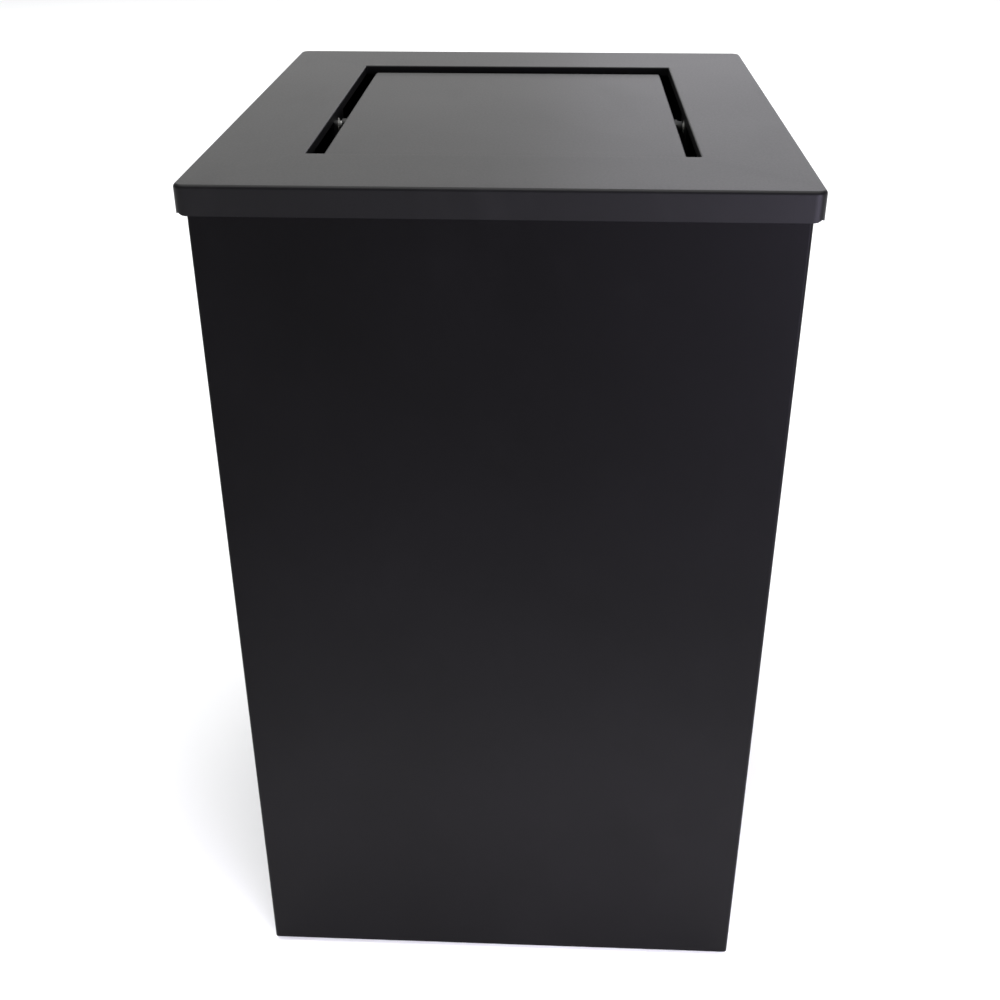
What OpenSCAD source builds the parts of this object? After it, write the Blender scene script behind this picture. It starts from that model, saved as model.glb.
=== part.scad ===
// Free-standing parcel drop box: a folded sheet-steel box under a lift-off lid with a swing flap.
// The flap is balanced by a steel bar, and parcels fall into a lift-out galvanised liner.
// Millimetres. The origin is at the middle of the base, +Z is up and the front faces -Y.

/* [Lid] */
// Width of the lid, side to side
lid_w = 400; // [330:1:520]
// Depth of the lid, front to back
lid_d = 440; // [360:1:540]
// Height of the lid's top face above the floor
overall_h = 668; // [550:1:900]
// Thickness of the lid's sheet
lid_t = 1.2; // [1:0.1:2]
// Height of the turned-down skirt, top sheet included
skirt_h = 19.5; // [15:0.5:40]
// How far the lid stands out past the box on each side
overhang = 6; // [4:0.5:12]
// Outer radius of the lid's folds
lid_bend = 2.5; // [2.2:0.1:4]
// Radius of the lid's corners, seen from above
lid_corner = 7; // [3:0.5:10]
// Radius of the skirt's lower corners
skirt_corner = 2; // [1:0.5:8]
// Width of the lid's frame at the sides and behind the opening
frame_w = 69; // [62:1:90]
// Width of the lid's frame in front of the opening
front_w = 78; // [62:1:110]
// Height of the lip turned down round the opening, top sheet included
lip_h = 7; // [5:0.5:7.5]

/* [Flap] */
// Gap between the flap and the opening at each side
flap_gap = 8.5; // [7:0.5:14]
// Gap between the flap and the opening at the front and the back
end_gap = 10; // [6:0.5:16]
// Depth of the flap's top face below the lid's top face
flap_recess = 3.5; // [0:0.5:5]
// Thickness of the flap's sheet
flap_t = 1.2; // [1:0.1:2]
// Height of the flap's turned-down sides, top sheet included
flap_side_h = 21.5; // [20:0.5:26]
// Depth of the pivot axis below the lid's top face
pivot_drop = 16; // [14:0.5:19]
// How far the flap lies to the right within its end play
side_shift = 0.8; // [0:0.1:1.5]
// Radius of the pivot pins
pin_r = 3; // [2.5:0.1:3.5]
// Height of the balance bar
bar_h = 25; // [15:1:30]
// Thickness of the balance bar
bar_t = 10; // [6:1:14]
// Distance from the pivot axis down to the middle of the bar
bar_drop = 36; // [34:1:44]
// How far the bar's middle lies behind the axis, which levels the flap
bar_setback = 0.4; // [-2:0.1:2]
// Distance from the pivot axis down to the stop pins
stop_drop = 45; // [40:1:60]

/* [Box] */
// Thickness of the box's sheet
body_t = 1; // [0.8:0.1:2]
// Thickness of the back panel
back_t = 1; // [0.8:0.1:2]
// Outer radius of the box's folds
body_bend = 2.5; // [2.2:0.1:5]
// Width of the flanges folded in at the back
return_w = 18; // [14:1:30]
// Height of the box's lower edge above the floor
edge_h = 4; // [2:0.5:10]
// Height of the floor pan's top above the box's lower edge
pan_raise = 14; // [12:1:30]
// Thickness of the floor pan's sheet
pan_t = 1.2; // [1:0.1:2]
// Width of the rim frame's flat flange
rim_w = 12; // [9:0.5:13]
// Height of the rim frame's upright flange
rim_h = 20; // [14:1:30]
// Thickness of the rim frame
rim_t = 1.5; // [1:0.1:2.5]
// Thickness of the rubber pads that the lid rests on
pad_t = 2; // [1:0.5:4]
// Number of rivets down each side of the back
back_rivet_count = 6; // [3:1:10]
// Distance from the liner's sides in to the middle of each foot
foot_inset = 15; // [12:1:40]
// Largest radius of a foot
foot_r = 16; // [14:0.5:20]

/* [Liner] */
// Thickness of the liner's sheet
liner_t = 0.8; // [0.6:0.1:1.2]
// Gap between the liner's wall and the rim frame
liner_gap = 6; // [5:0.5:12]
// Depth of the liner's mouth below the lid's top face
liner_drop = 143; // [135:1:250]
// Radius of the liner's corners
liner_corner = 22; // [15:1:40]
// Radius of the rolled bead round the liner's mouth
bead_r = 3.5; // [2.5:0.1:4]
// Height of the liner's bottom sheet above its lower edge
liner_raise = 10; // [8:1:20]
// Width of a handle between the middles of its legs
handle_w = 110; // [90:1:140]
// Length of a handle from its pivot to the middle of its grip
handle_reach = 64; // [50:1:90]
// Radius of the handle wire
wire_r = 3; // [2.5:0.1:3.5]
// Radius of the handle grip
grip_r = 6; // [5:0.1:6.5]

/* [Hidden] */
$fn = 64;

coat = [0.07, 0.07, 0.075];
zinc = [0.72, 0.73, 0.72];
galvanised = [0.62, 0.65, 0.67];
rubber = [0.05, 0.05, 0.05];
nylon = [0.88, 0.87, 0.82];

// Small clearances: between fitted sheets, round a turning shaft and round a fixed shank.
sheet_gap = 0.2;
run_gap = 0.05;
shank_gap = 0.02;
past = 1;

// Box
body_w = lid_w - 2 * overhang;
body_d = lid_d - 2 * overhang;
lid_under = overall_h - lid_t;
body_top = lid_under - pad_t;
inside_x = body_w / 2 - body_t;
inside_front = -(body_d / 2 - body_t);
inside_back = body_d / 2 - body_t - back_t;
inside_mid = (inside_front + inside_back) / 2;
inside_d = inside_back - inside_front;
pan_top = edge_h + pan_raise;
pan_side_h = pan_raise - 2;
pan_bend = 2;
rim_half_x = inside_x - sheet_gap;
rim_half_y = inside_d / 2 - sheet_gap;
mouth_half_x = rim_half_x - rim_w;
mouth_half_y = rim_half_y - rim_w;
pad_size = [rim_w - 3, 24, pad_t];
pad_y = mouth_half_y - 20;

// Fasteners: blind rivets, M5 foot screws and M6 bar screws
rivet_r = 1.6;
rivet_head_r = 3.3;
rivet_head_h = 1.1;
back_rivet_x = body_w / 2 - return_w / 2;
back_rivet_low = pan_top + 30;
back_rivet_pitch = (body_top - rim_h - 25 - back_rivet_low) / (back_rivet_count - 1);
foot_screw_r = 2.5;
foot_bore_r = 6.5;
foot_bore_h = 7;
washer_t = 1;
screw_head_h = 3.2;
nut_h = 4;
bar_screw_r = 3;
bar_nut_h = 5;

// Lid opening, pivot brackets and stops
open_w = lid_w - 2 * frame_w;
open_d = lid_d - front_w - frame_w;
open_y = (front_w - frame_w) / 2;
axis_z = overall_h - pivot_drop;
bracket_gap = 0.3;
bracket_t = 2.5;
bracket_x = open_w / 2 + lid_t + bracket_gap;
bracket_w = 44;
bracket_foot = 24;
bracket_end = 9;
bush_r = pin_r + 2;
bush_flange_r = pin_r + 5;
bush_flange_t = 1.5;
stop_pin_r = 3;
stop_sleeve_r = 6;
stop_z = axis_z - stop_drop;
tab_gap = 1;
tab_t = 1.5;
tab_w = 30;
tab_h = 16;
tab_foot = 12;
tab_x = lid_w * 0.275;
tab_y = lid_d * 0.275;

// Flap, in its own frame: the pivot axis is X, and the top sheet's upper face is at flap_top
flap_w = open_w - 2 * flap_gap;
flap_d = open_d - 2 * end_gap;
flap_top = pivot_drop - flap_recess;
flap_bend = lid_bend;
flap_corner = lid_bend + 0.5;
flap_side_corner = 4;
pin_head_h = 4;
pin_end = bracket_x + bracket_t + bush_flange_t + 4;
pivot_nut_h = 4;
end_play = 2;
spacer_end = bracket_x - end_play;
spacer_start = flap_w / 2 + pivot_nut_h;
spacer_r = pin_r + 1.5;
stop_inner_x = flap_w / 2 - flap_t - side_shift - 4;
bar_clear = 4;
bar_w = 2 * (stop_inner_x - side_shift - bar_clear);
channel_w = 30;
channel_h = 12;
channel_len = flap_w - 2 * (flap_t + pin_head_h + 9);
hanger_t = 3;
hanger_w = 22;
hanger_x = bar_w / 2 - 26;
hanger_foot = 20;
hanger_top = flap_top - flap_t - channel_h;
hanger_low = -bar_drop - bar_h / 2 + 2;
bar_front = bar_setback - bar_t / 2;

// Liner
liner_half_x = mouth_half_x - liner_gap;
liner_half_y = mouth_half_y - liner_gap;
foot_x = liner_half_x - foot_inset;
foot_y = liner_half_y - foot_inset;
liner_low = pan_top;
liner_top = overall_h - liner_drop;
liner_h = liner_top - liner_low;
handle_z = liner_top - 20;
handle_stand = 8;
handle_x = liner_half_x - liner_t - handle_stand;
lug_t = 2.5;
lug_ear_r = 8;
lug_start = handle_w / 2 + wire_r + 1.5;
lug_base_w = 24;
lug_base_h = 26;
lug_rivet_r = 2;
lug_rivet_head_r = 4;
lug_rivet_head_h = 1.6;
lug_rivet_pitch = 14;
handle_bend = 14;
grip_len = handle_w - 2 * handle_bend - 6;

// ---------- Shapes that repeat ----------

// The sliver outside a quarter circle at the origin, whose sides run along +X and +Y.
module corner_sliver(r) {
    difference() {
        translate([-past, -past]) square(r + past);
        translate([r, r]) circle(r);
    }
}

// A rectangle centred on X and standing on Y = 0, with its own radius at the bottom and the top.
module rounded_panel(w, h, low_r, high_r) {
    difference() {
        translate([-w / 2, 0]) square([w, h]);
        for (side = [-1, 1]) scale([side, 1]) translate([-w / 2, 0]) {
            if (low_r > 0) corner_sliver(low_r);
            if (high_r > 0) translate([0, h]) mirror([0, 1]) corner_sliver(high_r);
        }
    }
}

// A rectangle centred on the origin with four equal corner radii.
module rounded_plan(w, d, r) {
    translate([0, -d / 2]) rounded_panel(w, d, r, r);
}

// A block with rounded upright corners and rounded top edges, its top at Z = 0.
module soft_block(w, d, h, plan_r, top_r) {
    intersection() {
        translate([0, 0, -h]) linear_extrude(h) rounded_plan(w, d, plan_r);
        translate([0, d / 2, -h]) rotate([90, 0, 0]) linear_extrude(d) rounded_panel(w, h, 0, top_r);
        translate([-w / 2, 0, -h]) rotate([90, 0, 90]) linear_extrude(w) rounded_panel(d, h, 0, top_r);
    }
}

// What rounds the lower end of each upright corner of a tray, cut across the corner.
module corner_notches(w, d, h, plan_r, low_r) {
    for (sx = [-1, 1]) {
        for (sy = [-1, 1]) {
            translate([sx * (w / 2 - plan_r), sy * (d / 2 - plan_r), -h]) rotate([0, 0, atan2(sy, sx)])
                translate([plan_r, 0, 0]) rotate([90, 0, 0]) linear_extrude(4 * low_r, center = true)
                    mirror([1, 0]) corner_sliver(low_r);
        }
    }
}

// An upside-down tray folded from sheet t thick, its top at Z = 0.
module folded_tray(w, d, h, t, plan_r, bend_r, low_r) {
    difference() {
        soft_block(w, d, h, plan_r, bend_r);
        translate([0, 0, -t]) soft_block(w - 2 * t, d - 2 * t, h, plan_r - t, bend_r - t);
        if (low_r > 0) corner_notches(w, d, h, plan_r, low_r);
    }
}

// An upright rectangular tube of sheet t thick, standing on Z = 0.
module sheet_tube(w, d, h, t, r) {
    linear_extrude(h) difference() {
        rounded_plan(w, d, r);
        rounded_plan(w - 2 * t, d - 2 * t, r - t);
    }
}

// A low dome of radius r and height h on Z = 0.
module dome(r, h) {
    ball_r = (r * r + h * h) / (2 * h);
    intersection() {
        translate([0, 0, h - ball_r]) sphere(ball_r);
        cylinder(r = r, h = h);
    }
}

// A set rivet along +Z: its head sits above Z = 0 and its closing head below Z = -grip.
module set_rivet(r, head_r, head_h, grip, tail_h) {
    dome(head_r, head_h);
    translate([0, 0, -grip]) cylinder(r = r, h = grip);
    translate([0, 0, -grip - tail_h]) cylinder(r = r * 1.5, h = tail_h);
}

// A pan-head screw along -Z: its head's bearing face is at Z = 0, with a hexagon socket on top.
module pan_screw(r, head_r, head_h, length) {
    difference() {
        union() {
            cylinder(r = head_r, h = head_h * 0.45);
            translate([0, 0, head_h * 0.45]) dome(head_r, head_h * 0.55);
        }
        translate([0, 0, head_h * 0.45]) cylinder(r = r * 0.62, h = head_h, $fn = 6);
    }
    translate([0, 0, -length]) cylinder(r = r, h = length);
}

// A hexagon nut on Z = 0 for a screw of radius r.
module hex_nut(r, h) {
    difference() {
        cylinder(r = r * 1.92, h = h, $fn = 6);
        translate([0, 0, -past]) cylinder(r = r + shank_gap, h = h + 2 * past);
    }
}

// A ring on Z = 0.
module ring(r_out, r_in, h) {
    difference() {
        cylinder(r = r_out, h = h);
        translate([0, 0, -past]) cylinder(r = r_in, h = h + 2 * past);
    }
}

// A bore along +Z that passes right through a sheet h thick standing on Z = 0.
module through_bore(r, h) {
    translate([0, 0, -past]) cylinder(r = r, h = h + 2 * past);
}

// Turns a shape drawn along +Z to point along X: outwards on the side given, -1 left or 1 right.
module outward(side) {
    rotate([0, side * 90, 0]) children();
}

// Puts the children at the four places (+-x, +-y).
module at_corners(x, y) {
    for (sx = [-1, 1]) {
        for (sy = [-1, 1]) {
            translate([sx * x, sy * y, 0]) children();
        }
    }
}

// ---------- Box ----------

// Puts the children at every rivet of the back, with +Z pointing out of the back.
module at_back_rivets() {
    for (side = [-1, 1]) {
        for (i = [0 : back_rivet_count - 1]) {
            translate([side * back_rivet_x, body_d / 2, back_rivet_low + i * back_rivet_pitch])
                rotate([-90, 0, 0]) children();
        }
    }
}

// Front, both sides and the two flanges at the back, folded from one sheet.
module body_wrap() {
    color(coat) difference() {
        translate([0, 0, edge_h]) sheet_tube(body_w, body_d, body_top - edge_h, body_t, body_bend);
        translate([-body_w / 2 + return_w, 0, 0]) cube([body_w - 2 * return_w, body_d, overall_h]);
        at_back_rivets() translate([0, 0, -body_t]) through_bore(rivet_r + shank_gap, body_t);
    }
}

// Flat sheet riveted inside the two back flanges.
module back_panel() {
    panel_w = 2 * (inside_x - (body_bend - body_t));
    color(coat) difference() {
        translate([-panel_w / 2, inside_back, edge_h]) cube([panel_w, back_t, body_top - edge_h]);
        at_back_rivets() translate([0, 0, -body_t - back_t]) through_bore(rivet_r + shank_gap, back_t);
    }
}

// Puts the children at the middle of each foot.
module at_feet() {
    translate([0, inside_mid, 0]) at_corners(foot_x, foot_y) children();
}

// Upside-down tray spot-welded between the walls. It hides the upper part of the feet.
module floor_pan() {
    color(coat) difference() {
        translate([0, inside_mid, pan_top])
            folded_tray(2 * (inside_x - sheet_gap), inside_d - 2 * sheet_gap, pan_side_h, pan_t, pan_bend + 1,
                pan_bend, 0);
        at_feet() translate([0, 0, pan_top - pan_t]) through_bore(foot_screw_r + sheet_gap, pan_t);
    }
}

// Angle-section frame welded inside the top edge. It stiffens the mouth and carries the lid.
module rim_frame() {
    color(coat) translate([0, inside_mid, body_top - rim_h]) difference() {
        linear_extrude(rim_h) rounded_plan(2 * rim_half_x, 2 * rim_half_y, 2);
        translate([0, 0, -past]) linear_extrude(rim_h + 2 * past)
            rounded_plan(2 * mouth_half_x, 2 * mouth_half_y, 2);
        translate([0, 0, -past]) linear_extrude(rim_h - rim_t + past)
            rounded_plan(2 * (rim_half_x - rim_t), 2 * (rim_half_y - rim_t), 1);
    }
}

// Four rubber pads on the rim frame, under the lid.
module rim_pads() {
    color(rubber) translate([0, inside_mid, body_top]) at_corners(mouth_half_x + rim_w / 2, pad_y)
        linear_extrude(pad_t) rounded_plan(pad_size[0], pad_size[1], 2);
}

module back_rivets() {
    color(coat) at_back_rivets()
        set_rivet(rivet_r, rivet_head_r, rivet_head_h, body_t + back_t, 3);
}

// Rubber foot with a recess for its screw.
module foot(sx, sy) {
    low_r = foot_r - 2;
    color(rubber) translate([sx * foot_x, inside_mid + sy * foot_y, 0]) rotate_extrude() difference() {
        polygon([[0, 0], [low_r - 1.5, 0], [low_r, 1.5], [foot_r, pan_top - pan_t], [0, pan_top - pan_t]]);
        translate([-past, -past]) square([foot_bore_r + past, foot_bore_h + past]);
        translate([-past, 0]) square([foot_screw_r + sheet_gap + past, pan_top]);
    }
}

module foot_screws() {
    length = pan_top + 2 * washer_t + nut_h + 1.5 - foot_bore_h;
    color(zinc) at_feet() translate([0, 0, foot_bore_h - washer_t]) rotate([180, 0, 0])
        pan_screw(foot_screw_r, foot_screw_r * 1.9, screw_head_h, length);
}

// One washer under each screw head and one under each nut.
module foot_washers() {
    color(zinc) at_feet() {
        for (z = [foot_bore_h - washer_t, pan_top]) {
            translate([0, 0, z]) ring(foot_bore_r - 0.5, foot_screw_r + sheet_gap, washer_t);
        }
    }
}

module foot_nuts() {
    color(zinc) at_feet() translate([0, 0, pan_top + washer_t]) hex_nut(foot_screw_r, nut_h);
}

// ---------- Liner ----------

// Half a rolled bead: one long side, one short side and the two corners that follow them.
module bead_half(half_x, half_y, corner, r) {
    for (run = [[half_x, half_y, 0], [half_y, half_x, 90]]) {
        rotate([0, 0, run[2]]) {
            translate([run[0], -(run[1] - corner), 0]) rotate([-90, 0, 0])
                cylinder(r = r, h = 2 * (run[1] - corner));
            translate([run[0] - corner, run[1] - corner, 0]) rotate_extrude(angle = 90)
                translate([corner, 0]) circle(r);
        }
    }
}

// Galvanised four-sided shell with a rolled bead round its mouth.
module liner_shell() {
    bead_x = liner_half_x - liner_t / 2;
    bead_y = liner_half_y - liner_t / 2;
    color(galvanised) translate([0, inside_mid, 0]) difference() {
        union() {
            translate([0, 0, liner_low])
                sheet_tube(2 * liner_half_x, 2 * liner_half_y, liner_h - bead_r, liner_t, liner_corner);
            for (turn = [0, 180]) rotate([0, 0, turn]) translate([0, 0, liner_top - bead_r])
                bead_half(bead_x, bead_y, liner_corner - liner_t / 2, bead_r);
        }
        at_lug_rivets() translate([0, 0, -liner_t]) through_bore(lug_rivet_r + shank_gap, liner_t);
    }
}

// Upside-down tray crimped into the bottom of the shell.
module liner_base() {
    color(galvanised) translate([0, inside_mid, liner_low + liner_raise + liner_t])
        folded_tray(2 * (liner_half_x - liner_t) - sheet_gap, 2 * (liner_half_y - liner_t) - sheet_gap,
            liner_raise, liner_t, liner_corner - liner_t, 1.6, 0);
}

// Puts the children at every lug rivet on the inner face of the liner, with +Z pointing inwards.
module at_lug_rivets() {
    for (side = [-1, 1]) {
        at_side_rivets(side) children();
    }
}

module at_side_rivets(side) {
    for (end = [-1, 1]) {
        for (dz = [-1, 1]) {
            translate([side * (liner_half_x - liner_t), end * (lug_start + lug_base_w / 2),
                    handle_z + dz * lug_rivet_pitch / 2])
                outward(-side) children();
        }
    }
}

// Two riveted lugs, each with an ear that a handle's end turns in.
module handle_lugs(side) {
    wall_x = liner_half_x - liner_t;
    color(zinc) difference() {
        for (end = [-1, 1]) scale([side, end, 1]) {
            translate([wall_x - lug_t, lug_start, handle_z - lug_base_h / 2])
                cube([lug_t, lug_base_w, lug_base_h]);
            translate([handle_x, lug_start + lug_t, handle_z]) rotate([90, 0, 0]) linear_extrude(lug_t) {
                circle(lug_ear_r);
                translate([0, -lug_ear_r]) square([handle_stand, 2 * lug_ear_r]);
            }
        }
        translate([side * handle_x, 0, handle_z]) rotate([90, 0, 0])
            cylinder(r = wire_r + run_gap, h = handle_w + 4 * lug_base_w, center = true);
        at_side_rivets(side) through_bore(lug_rivet_r + shank_gap, lug_t);
    }
}

module handle_lugs_left() {
    translate([0, inside_mid, 0]) handle_lugs(-1);
}

module handle_lugs_right() {
    translate([0, inside_mid, 0]) handle_lugs(1);
}

module lug_rivets() {
    color(zinc) translate([0, inside_mid, 0]) at_lug_rivets() translate([0, 0, lug_t])
        set_rivet(lug_rivet_r, lug_rivet_head_r, lug_rivet_head_h, lug_t + liner_t, 1.2);
}

// Wire handle that hangs down inside the liner. Its ends turn in the lugs.
module handle_wire(side) {
    leg = handle_reach - handle_bend;
    end_len = lug_start + lug_t + 1 - handle_w / 2;
    color(zinc) translate([side * handle_x, inside_mid, handle_z]) {
        for (end = [-1, 1]) scale([1, end, 1]) {
            translate([0, handle_w / 2, 0]) sphere(wire_r);
            translate([0, handle_w / 2, -leg]) cylinder(r = wire_r, h = leg);
            translate([0, handle_w / 2, 0]) rotate([-90, 0, 0]) cylinder(r = wire_r, h = end_len);
            translate([0, handle_w / 2 + end_len, 0]) rotate([-90, 0, 0]) cylinder(r = wire_r + 1.5, h = 2);
            translate([0, handle_w / 2 - handle_bend, -leg]) rotate([0, 90, 0]) rotate_extrude(angle = 90)
                translate([handle_bend, 0]) circle(wire_r);
        }
        translate([0, 0, -handle_reach]) rotate([90, 0, 0])
            cylinder(r = wire_r, h = handle_w - 2 * handle_bend, center = true);
    }
}

module handle_wire_left() {
    handle_wire(-1);
}

module handle_wire_right() {
    handle_wire(1);
}

// Plastic tube on the straight part of a handle.
module handle_grip(side) {
    color(rubber) translate([side * handle_x, inside_mid - grip_len / 2, handle_z - handle_reach])
        rotate([-90, 0, 0]) ring(grip_r, wire_r + shank_gap, grip_len);
}

module handle_grip_left() {
    handle_grip(-1);
}

module handle_grip_right() {
    handle_grip(1);
}

// ---------- Lid ----------

// Folded lid with an oblong opening and a lip turned down all round it.
module lid_cover() {
    color(coat) translate([0, 0, overall_h]) difference() {
        union() {
            folded_tray(lid_w, lid_d, skirt_h, lid_t, lid_corner, lid_bend, skirt_corner);
            translate([0, open_y, -lip_h]) linear_extrude(lip_h - lid_t / 2)
                rounded_plan(open_w + 2 * lid_t, open_d + 2 * lid_t, lid_t + 1);
        }
        translate([0, open_y, 0]) {
            translate([0, 0, -lip_h - past]) linear_extrude(lip_h + 2 * past)
                rounded_plan(open_w, open_d, 1);
            for (turn = [0, 180]) {
                rotate([0, 0, turn]) translate([0, -open_d / 2, 0]) opening_edge(open_w);
                rotate([0, 0, turn + 90]) translate([0, -open_w / 2, 0]) opening_edge(open_d);
            }
        }
    }
}

// Rounds the top edge of the opening along a side of the length given.
module opening_edge(length) {
    translate([-length / 2, 0, 0]) rotate([90, 0, 90]) linear_extrude(length) difference() {
        translate([-lid_t, -lid_t]) square([2 * lid_t, lid_t + past]);
        translate([-lid_t, -lid_t]) circle(lid_t);
    }
}

// Angle tabs welded under the lid. They drop inside the rim frame and keep the lid in place.
module lid_locating_tabs() {
    color(coat) translate([0, inside_mid, lid_under]) {
        for (side = [-1, 1]) {
            for (place = [-1, 1]) {
                translate([side * (mouth_half_x - tab_gap), place * tab_y, 0]) rotate([0, 0, side * 90])
                    locating_tab();
                translate([place * tab_x, side * (mouth_half_y - tab_gap), 0]) rotate([0, 0, side * 90 + 90])
                    locating_tab();
            }
        }
    }
}

// One tab: its outer face is at Y = 0 and faces -Y, and its foot runs to +Y under Z = 0.
module locating_tab() {
    translate([-tab_w / 2, 0, -tab_t]) cube([tab_w, tab_foot, tab_t]);
    rotate([90, 0, 0]) translate([0, -tab_h, -tab_t]) linear_extrude(tab_t)
        rounded_panel(tab_w, tab_h, 5, 0);
}

// Angle bracket welded under the lid beside the opening. It holds a pivot bush and a stop pin.
module pivot_bracket(side) {
    plate_h = lid_under - stop_z + bracket_end;
    color(coat) translate([0, open_y, 0]) scale([side, 1, 1]) difference() {
        union() {
            translate([bracket_x, 0, lid_under - plate_h]) rotate([90, 0, 90]) linear_extrude(bracket_t)
                rounded_panel(bracket_w, plate_h, 14, 0);
            translate([bracket_x, -bracket_w / 2, lid_under - bracket_t])
                cube([bracket_foot, bracket_w, bracket_t]);
        }
        translate([bracket_x, 0, axis_z]) outward(1) through_bore(bush_r, bracket_t);
        translate([bracket_x, 0, stop_z]) outward(1) through_bore(stop_pin_r + shank_gap, bracket_t);
    }
}

module pivot_bracket_left() {
    pivot_bracket(-1);
}

module pivot_bracket_right() {
    pivot_bracket(1);
}

// Flanged nylon bush that a pivot pin turns in.
module pivot_bush(side) {
    color(nylon) translate([side * bracket_x, open_y, axis_z]) outward(side) difference() {
        union() {
            cylinder(r = bush_r, h = bracket_t);
            translate([0, 0, bracket_t]) cylinder(r = bush_flange_r, h = bush_flange_t);
        }
        through_bore(pin_r + run_gap, bracket_t + bush_flange_t);
    }
}

module pivot_bush_left() {
    pivot_bush(-1);
}

module pivot_bush_right() {
    pivot_bush(1);
}

// Headed pin below each pivot. The flap's side meets its sleeve at either end of the swing.
module stop_pin(side) {
    length = bracket_x + bracket_t - stop_inner_x;
    color(zinc) translate([side * stop_inner_x, open_y, stop_z]) outward(side) {
        cylinder(r = stop_pin_r, h = length);
        translate([0, 0, length]) dome(stop_pin_r + 2, 2);
    }
}

module stop_pin_left() {
    stop_pin(-1);
}

module stop_pin_right() {
    stop_pin(1);
}

// Rubber sleeve on a stop pin.
module stop_sleeve(side) {
    color(rubber) translate([side * (stop_inner_x + 0.5), open_y, stop_z]) outward(side)
        ring(stop_sleeve_r, stop_pin_r + shank_gap, bracket_x - stop_inner_x - 1.5);
}

module stop_sleeve_left() {
    stop_sleeve(-1);
}

module stop_sleeve_right() {
    stop_sleeve(1);
}

// ---------- Flap ----------

// Carries a shape from the flap's own frame to the flap's place at rest.
module at_flap() {
    translate([side_shift, open_y, axis_z]) children();
}

// Oblong tray, open below, with a pivot hole in each side.
module flap_panel() {
    color(coat) at_flap() difference() {
        translate([0, 0, flap_top])
            folded_tray(flap_w, flap_d, flap_side_h, flap_t, flap_corner, flap_bend, flap_side_corner);
        for (side = [-1, 1]) {
            translate([side * (flap_w / 2 - flap_t), 0, 0]) outward(side)
                through_bore(pin_r + shank_gap, flap_t);
        }
    }
}

// Channel welded across the flap, under its top sheet. It stiffens the flap and carries the hangers.
module flap_channel() {
    web_z = hanger_top;
    color(coat) at_flap() translate([-channel_len / 2, 0, web_z]) {
        difference() {
            translate([0, -channel_w / 2, 0]) cube([channel_len, channel_w, channel_h]);
            translate([-past, -channel_w / 2 + flap_t, flap_t])
                cube([channel_len + 2 * past, channel_w - 2 * flap_t, channel_h]);
        }
    }
}

// Puts the children at a bar screw, on the bar's front face, with +Z pointing to the front.
module at_bar_screw(side) {
    translate([side * hanger_x, bar_front, -bar_drop]) rotate([90, 0, 0]) children();
}

// Strap welded under the channel. The bar is screwed to its lower end.
module bar_hanger(side) {
    color(coat) at_flap() difference() {
        union() {
            translate([side * hanger_x, bar_front, hanger_low]) rotate([90, 0, 0]) linear_extrude(hanger_t)
                rounded_panel(hanger_w, hanger_top - hanger_low, 6, 0);
            translate([side * hanger_x - hanger_w / 2, bar_front - hanger_t, hanger_top - hanger_t])
                cube([hanger_w, hanger_foot, hanger_t]);
        }
        at_bar_screw(side) through_bore(bar_screw_r + sheet_gap, hanger_t);
    }
}

module bar_hanger_left() {
    bar_hanger(-1);
}

module bar_hanger_right() {
    bar_hanger(1);
}

// Flat steel bar that balances the flap and brings it back level.
module balance_bar() {
    color(zinc) at_flap() difference() {
        translate([-bar_w / 2, bar_front, -bar_drop - bar_h / 2]) cube([bar_w, bar_t, bar_h]);
        for (side = [-1, 1]) {
            at_bar_screw(side) translate([0, 0, -bar_t]) through_bore(bar_screw_r + sheet_gap, bar_t);
        }
    }
}

module bar_screws() {
    color(zinc) at_flap() for (side = [-1, 1]) {
        at_bar_screw(side) translate([0, 0, hanger_t])
            pan_screw(bar_screw_r, bar_screw_r * 1.9, screw_head_h, hanger_t + bar_t + bar_nut_h + 1.5);
    }
}

module bar_nuts() {
    color(zinc) at_flap() for (side = [-1, 1]) {
        at_bar_screw(side) translate([0, 0, -bar_t - bar_nut_h]) hex_nut(bar_screw_r, bar_nut_h);
    }
}

// Hexagon-headed pin that runs from inside the flap out through the bush.
module pivot_pin(side) {
    inner_x = flap_w / 2 - flap_t;
    color(zinc) at_flap() translate([side * inner_x, 0, 0]) outward(side) {
        translate([0, 0, -pin_head_h]) cylinder(r = pin_r * 1.92, h = pin_head_h, $fn = 6);
        cylinder(r = pin_r, h = pin_end - inner_x);
    }
}

module pivot_pin_left() {
    pivot_pin(-1);
}

module pivot_pin_right() {
    pivot_pin(1);
}

// Nuts that clamp the pins to the flap's sides.
module pivot_nuts() {
    color(zinc) at_flap() for (side = [-1, 1]) {
        translate([side * flap_w / 2, 0, 0]) outward(side) hex_nut(pin_r, pivot_nut_h);
    }
}

// Tubes that set the flap's end play between the nuts and the brackets.
module pivot_spacers() {
    color(zinc) at_flap() for (side = [-1, 1]) {
        translate([side * spacer_start, 0, 0]) outward(side)
            ring(spacer_r, pin_r + shank_gap, spacer_end - spacer_start);
    }
}

// ---------- Nodes ----------

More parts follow.
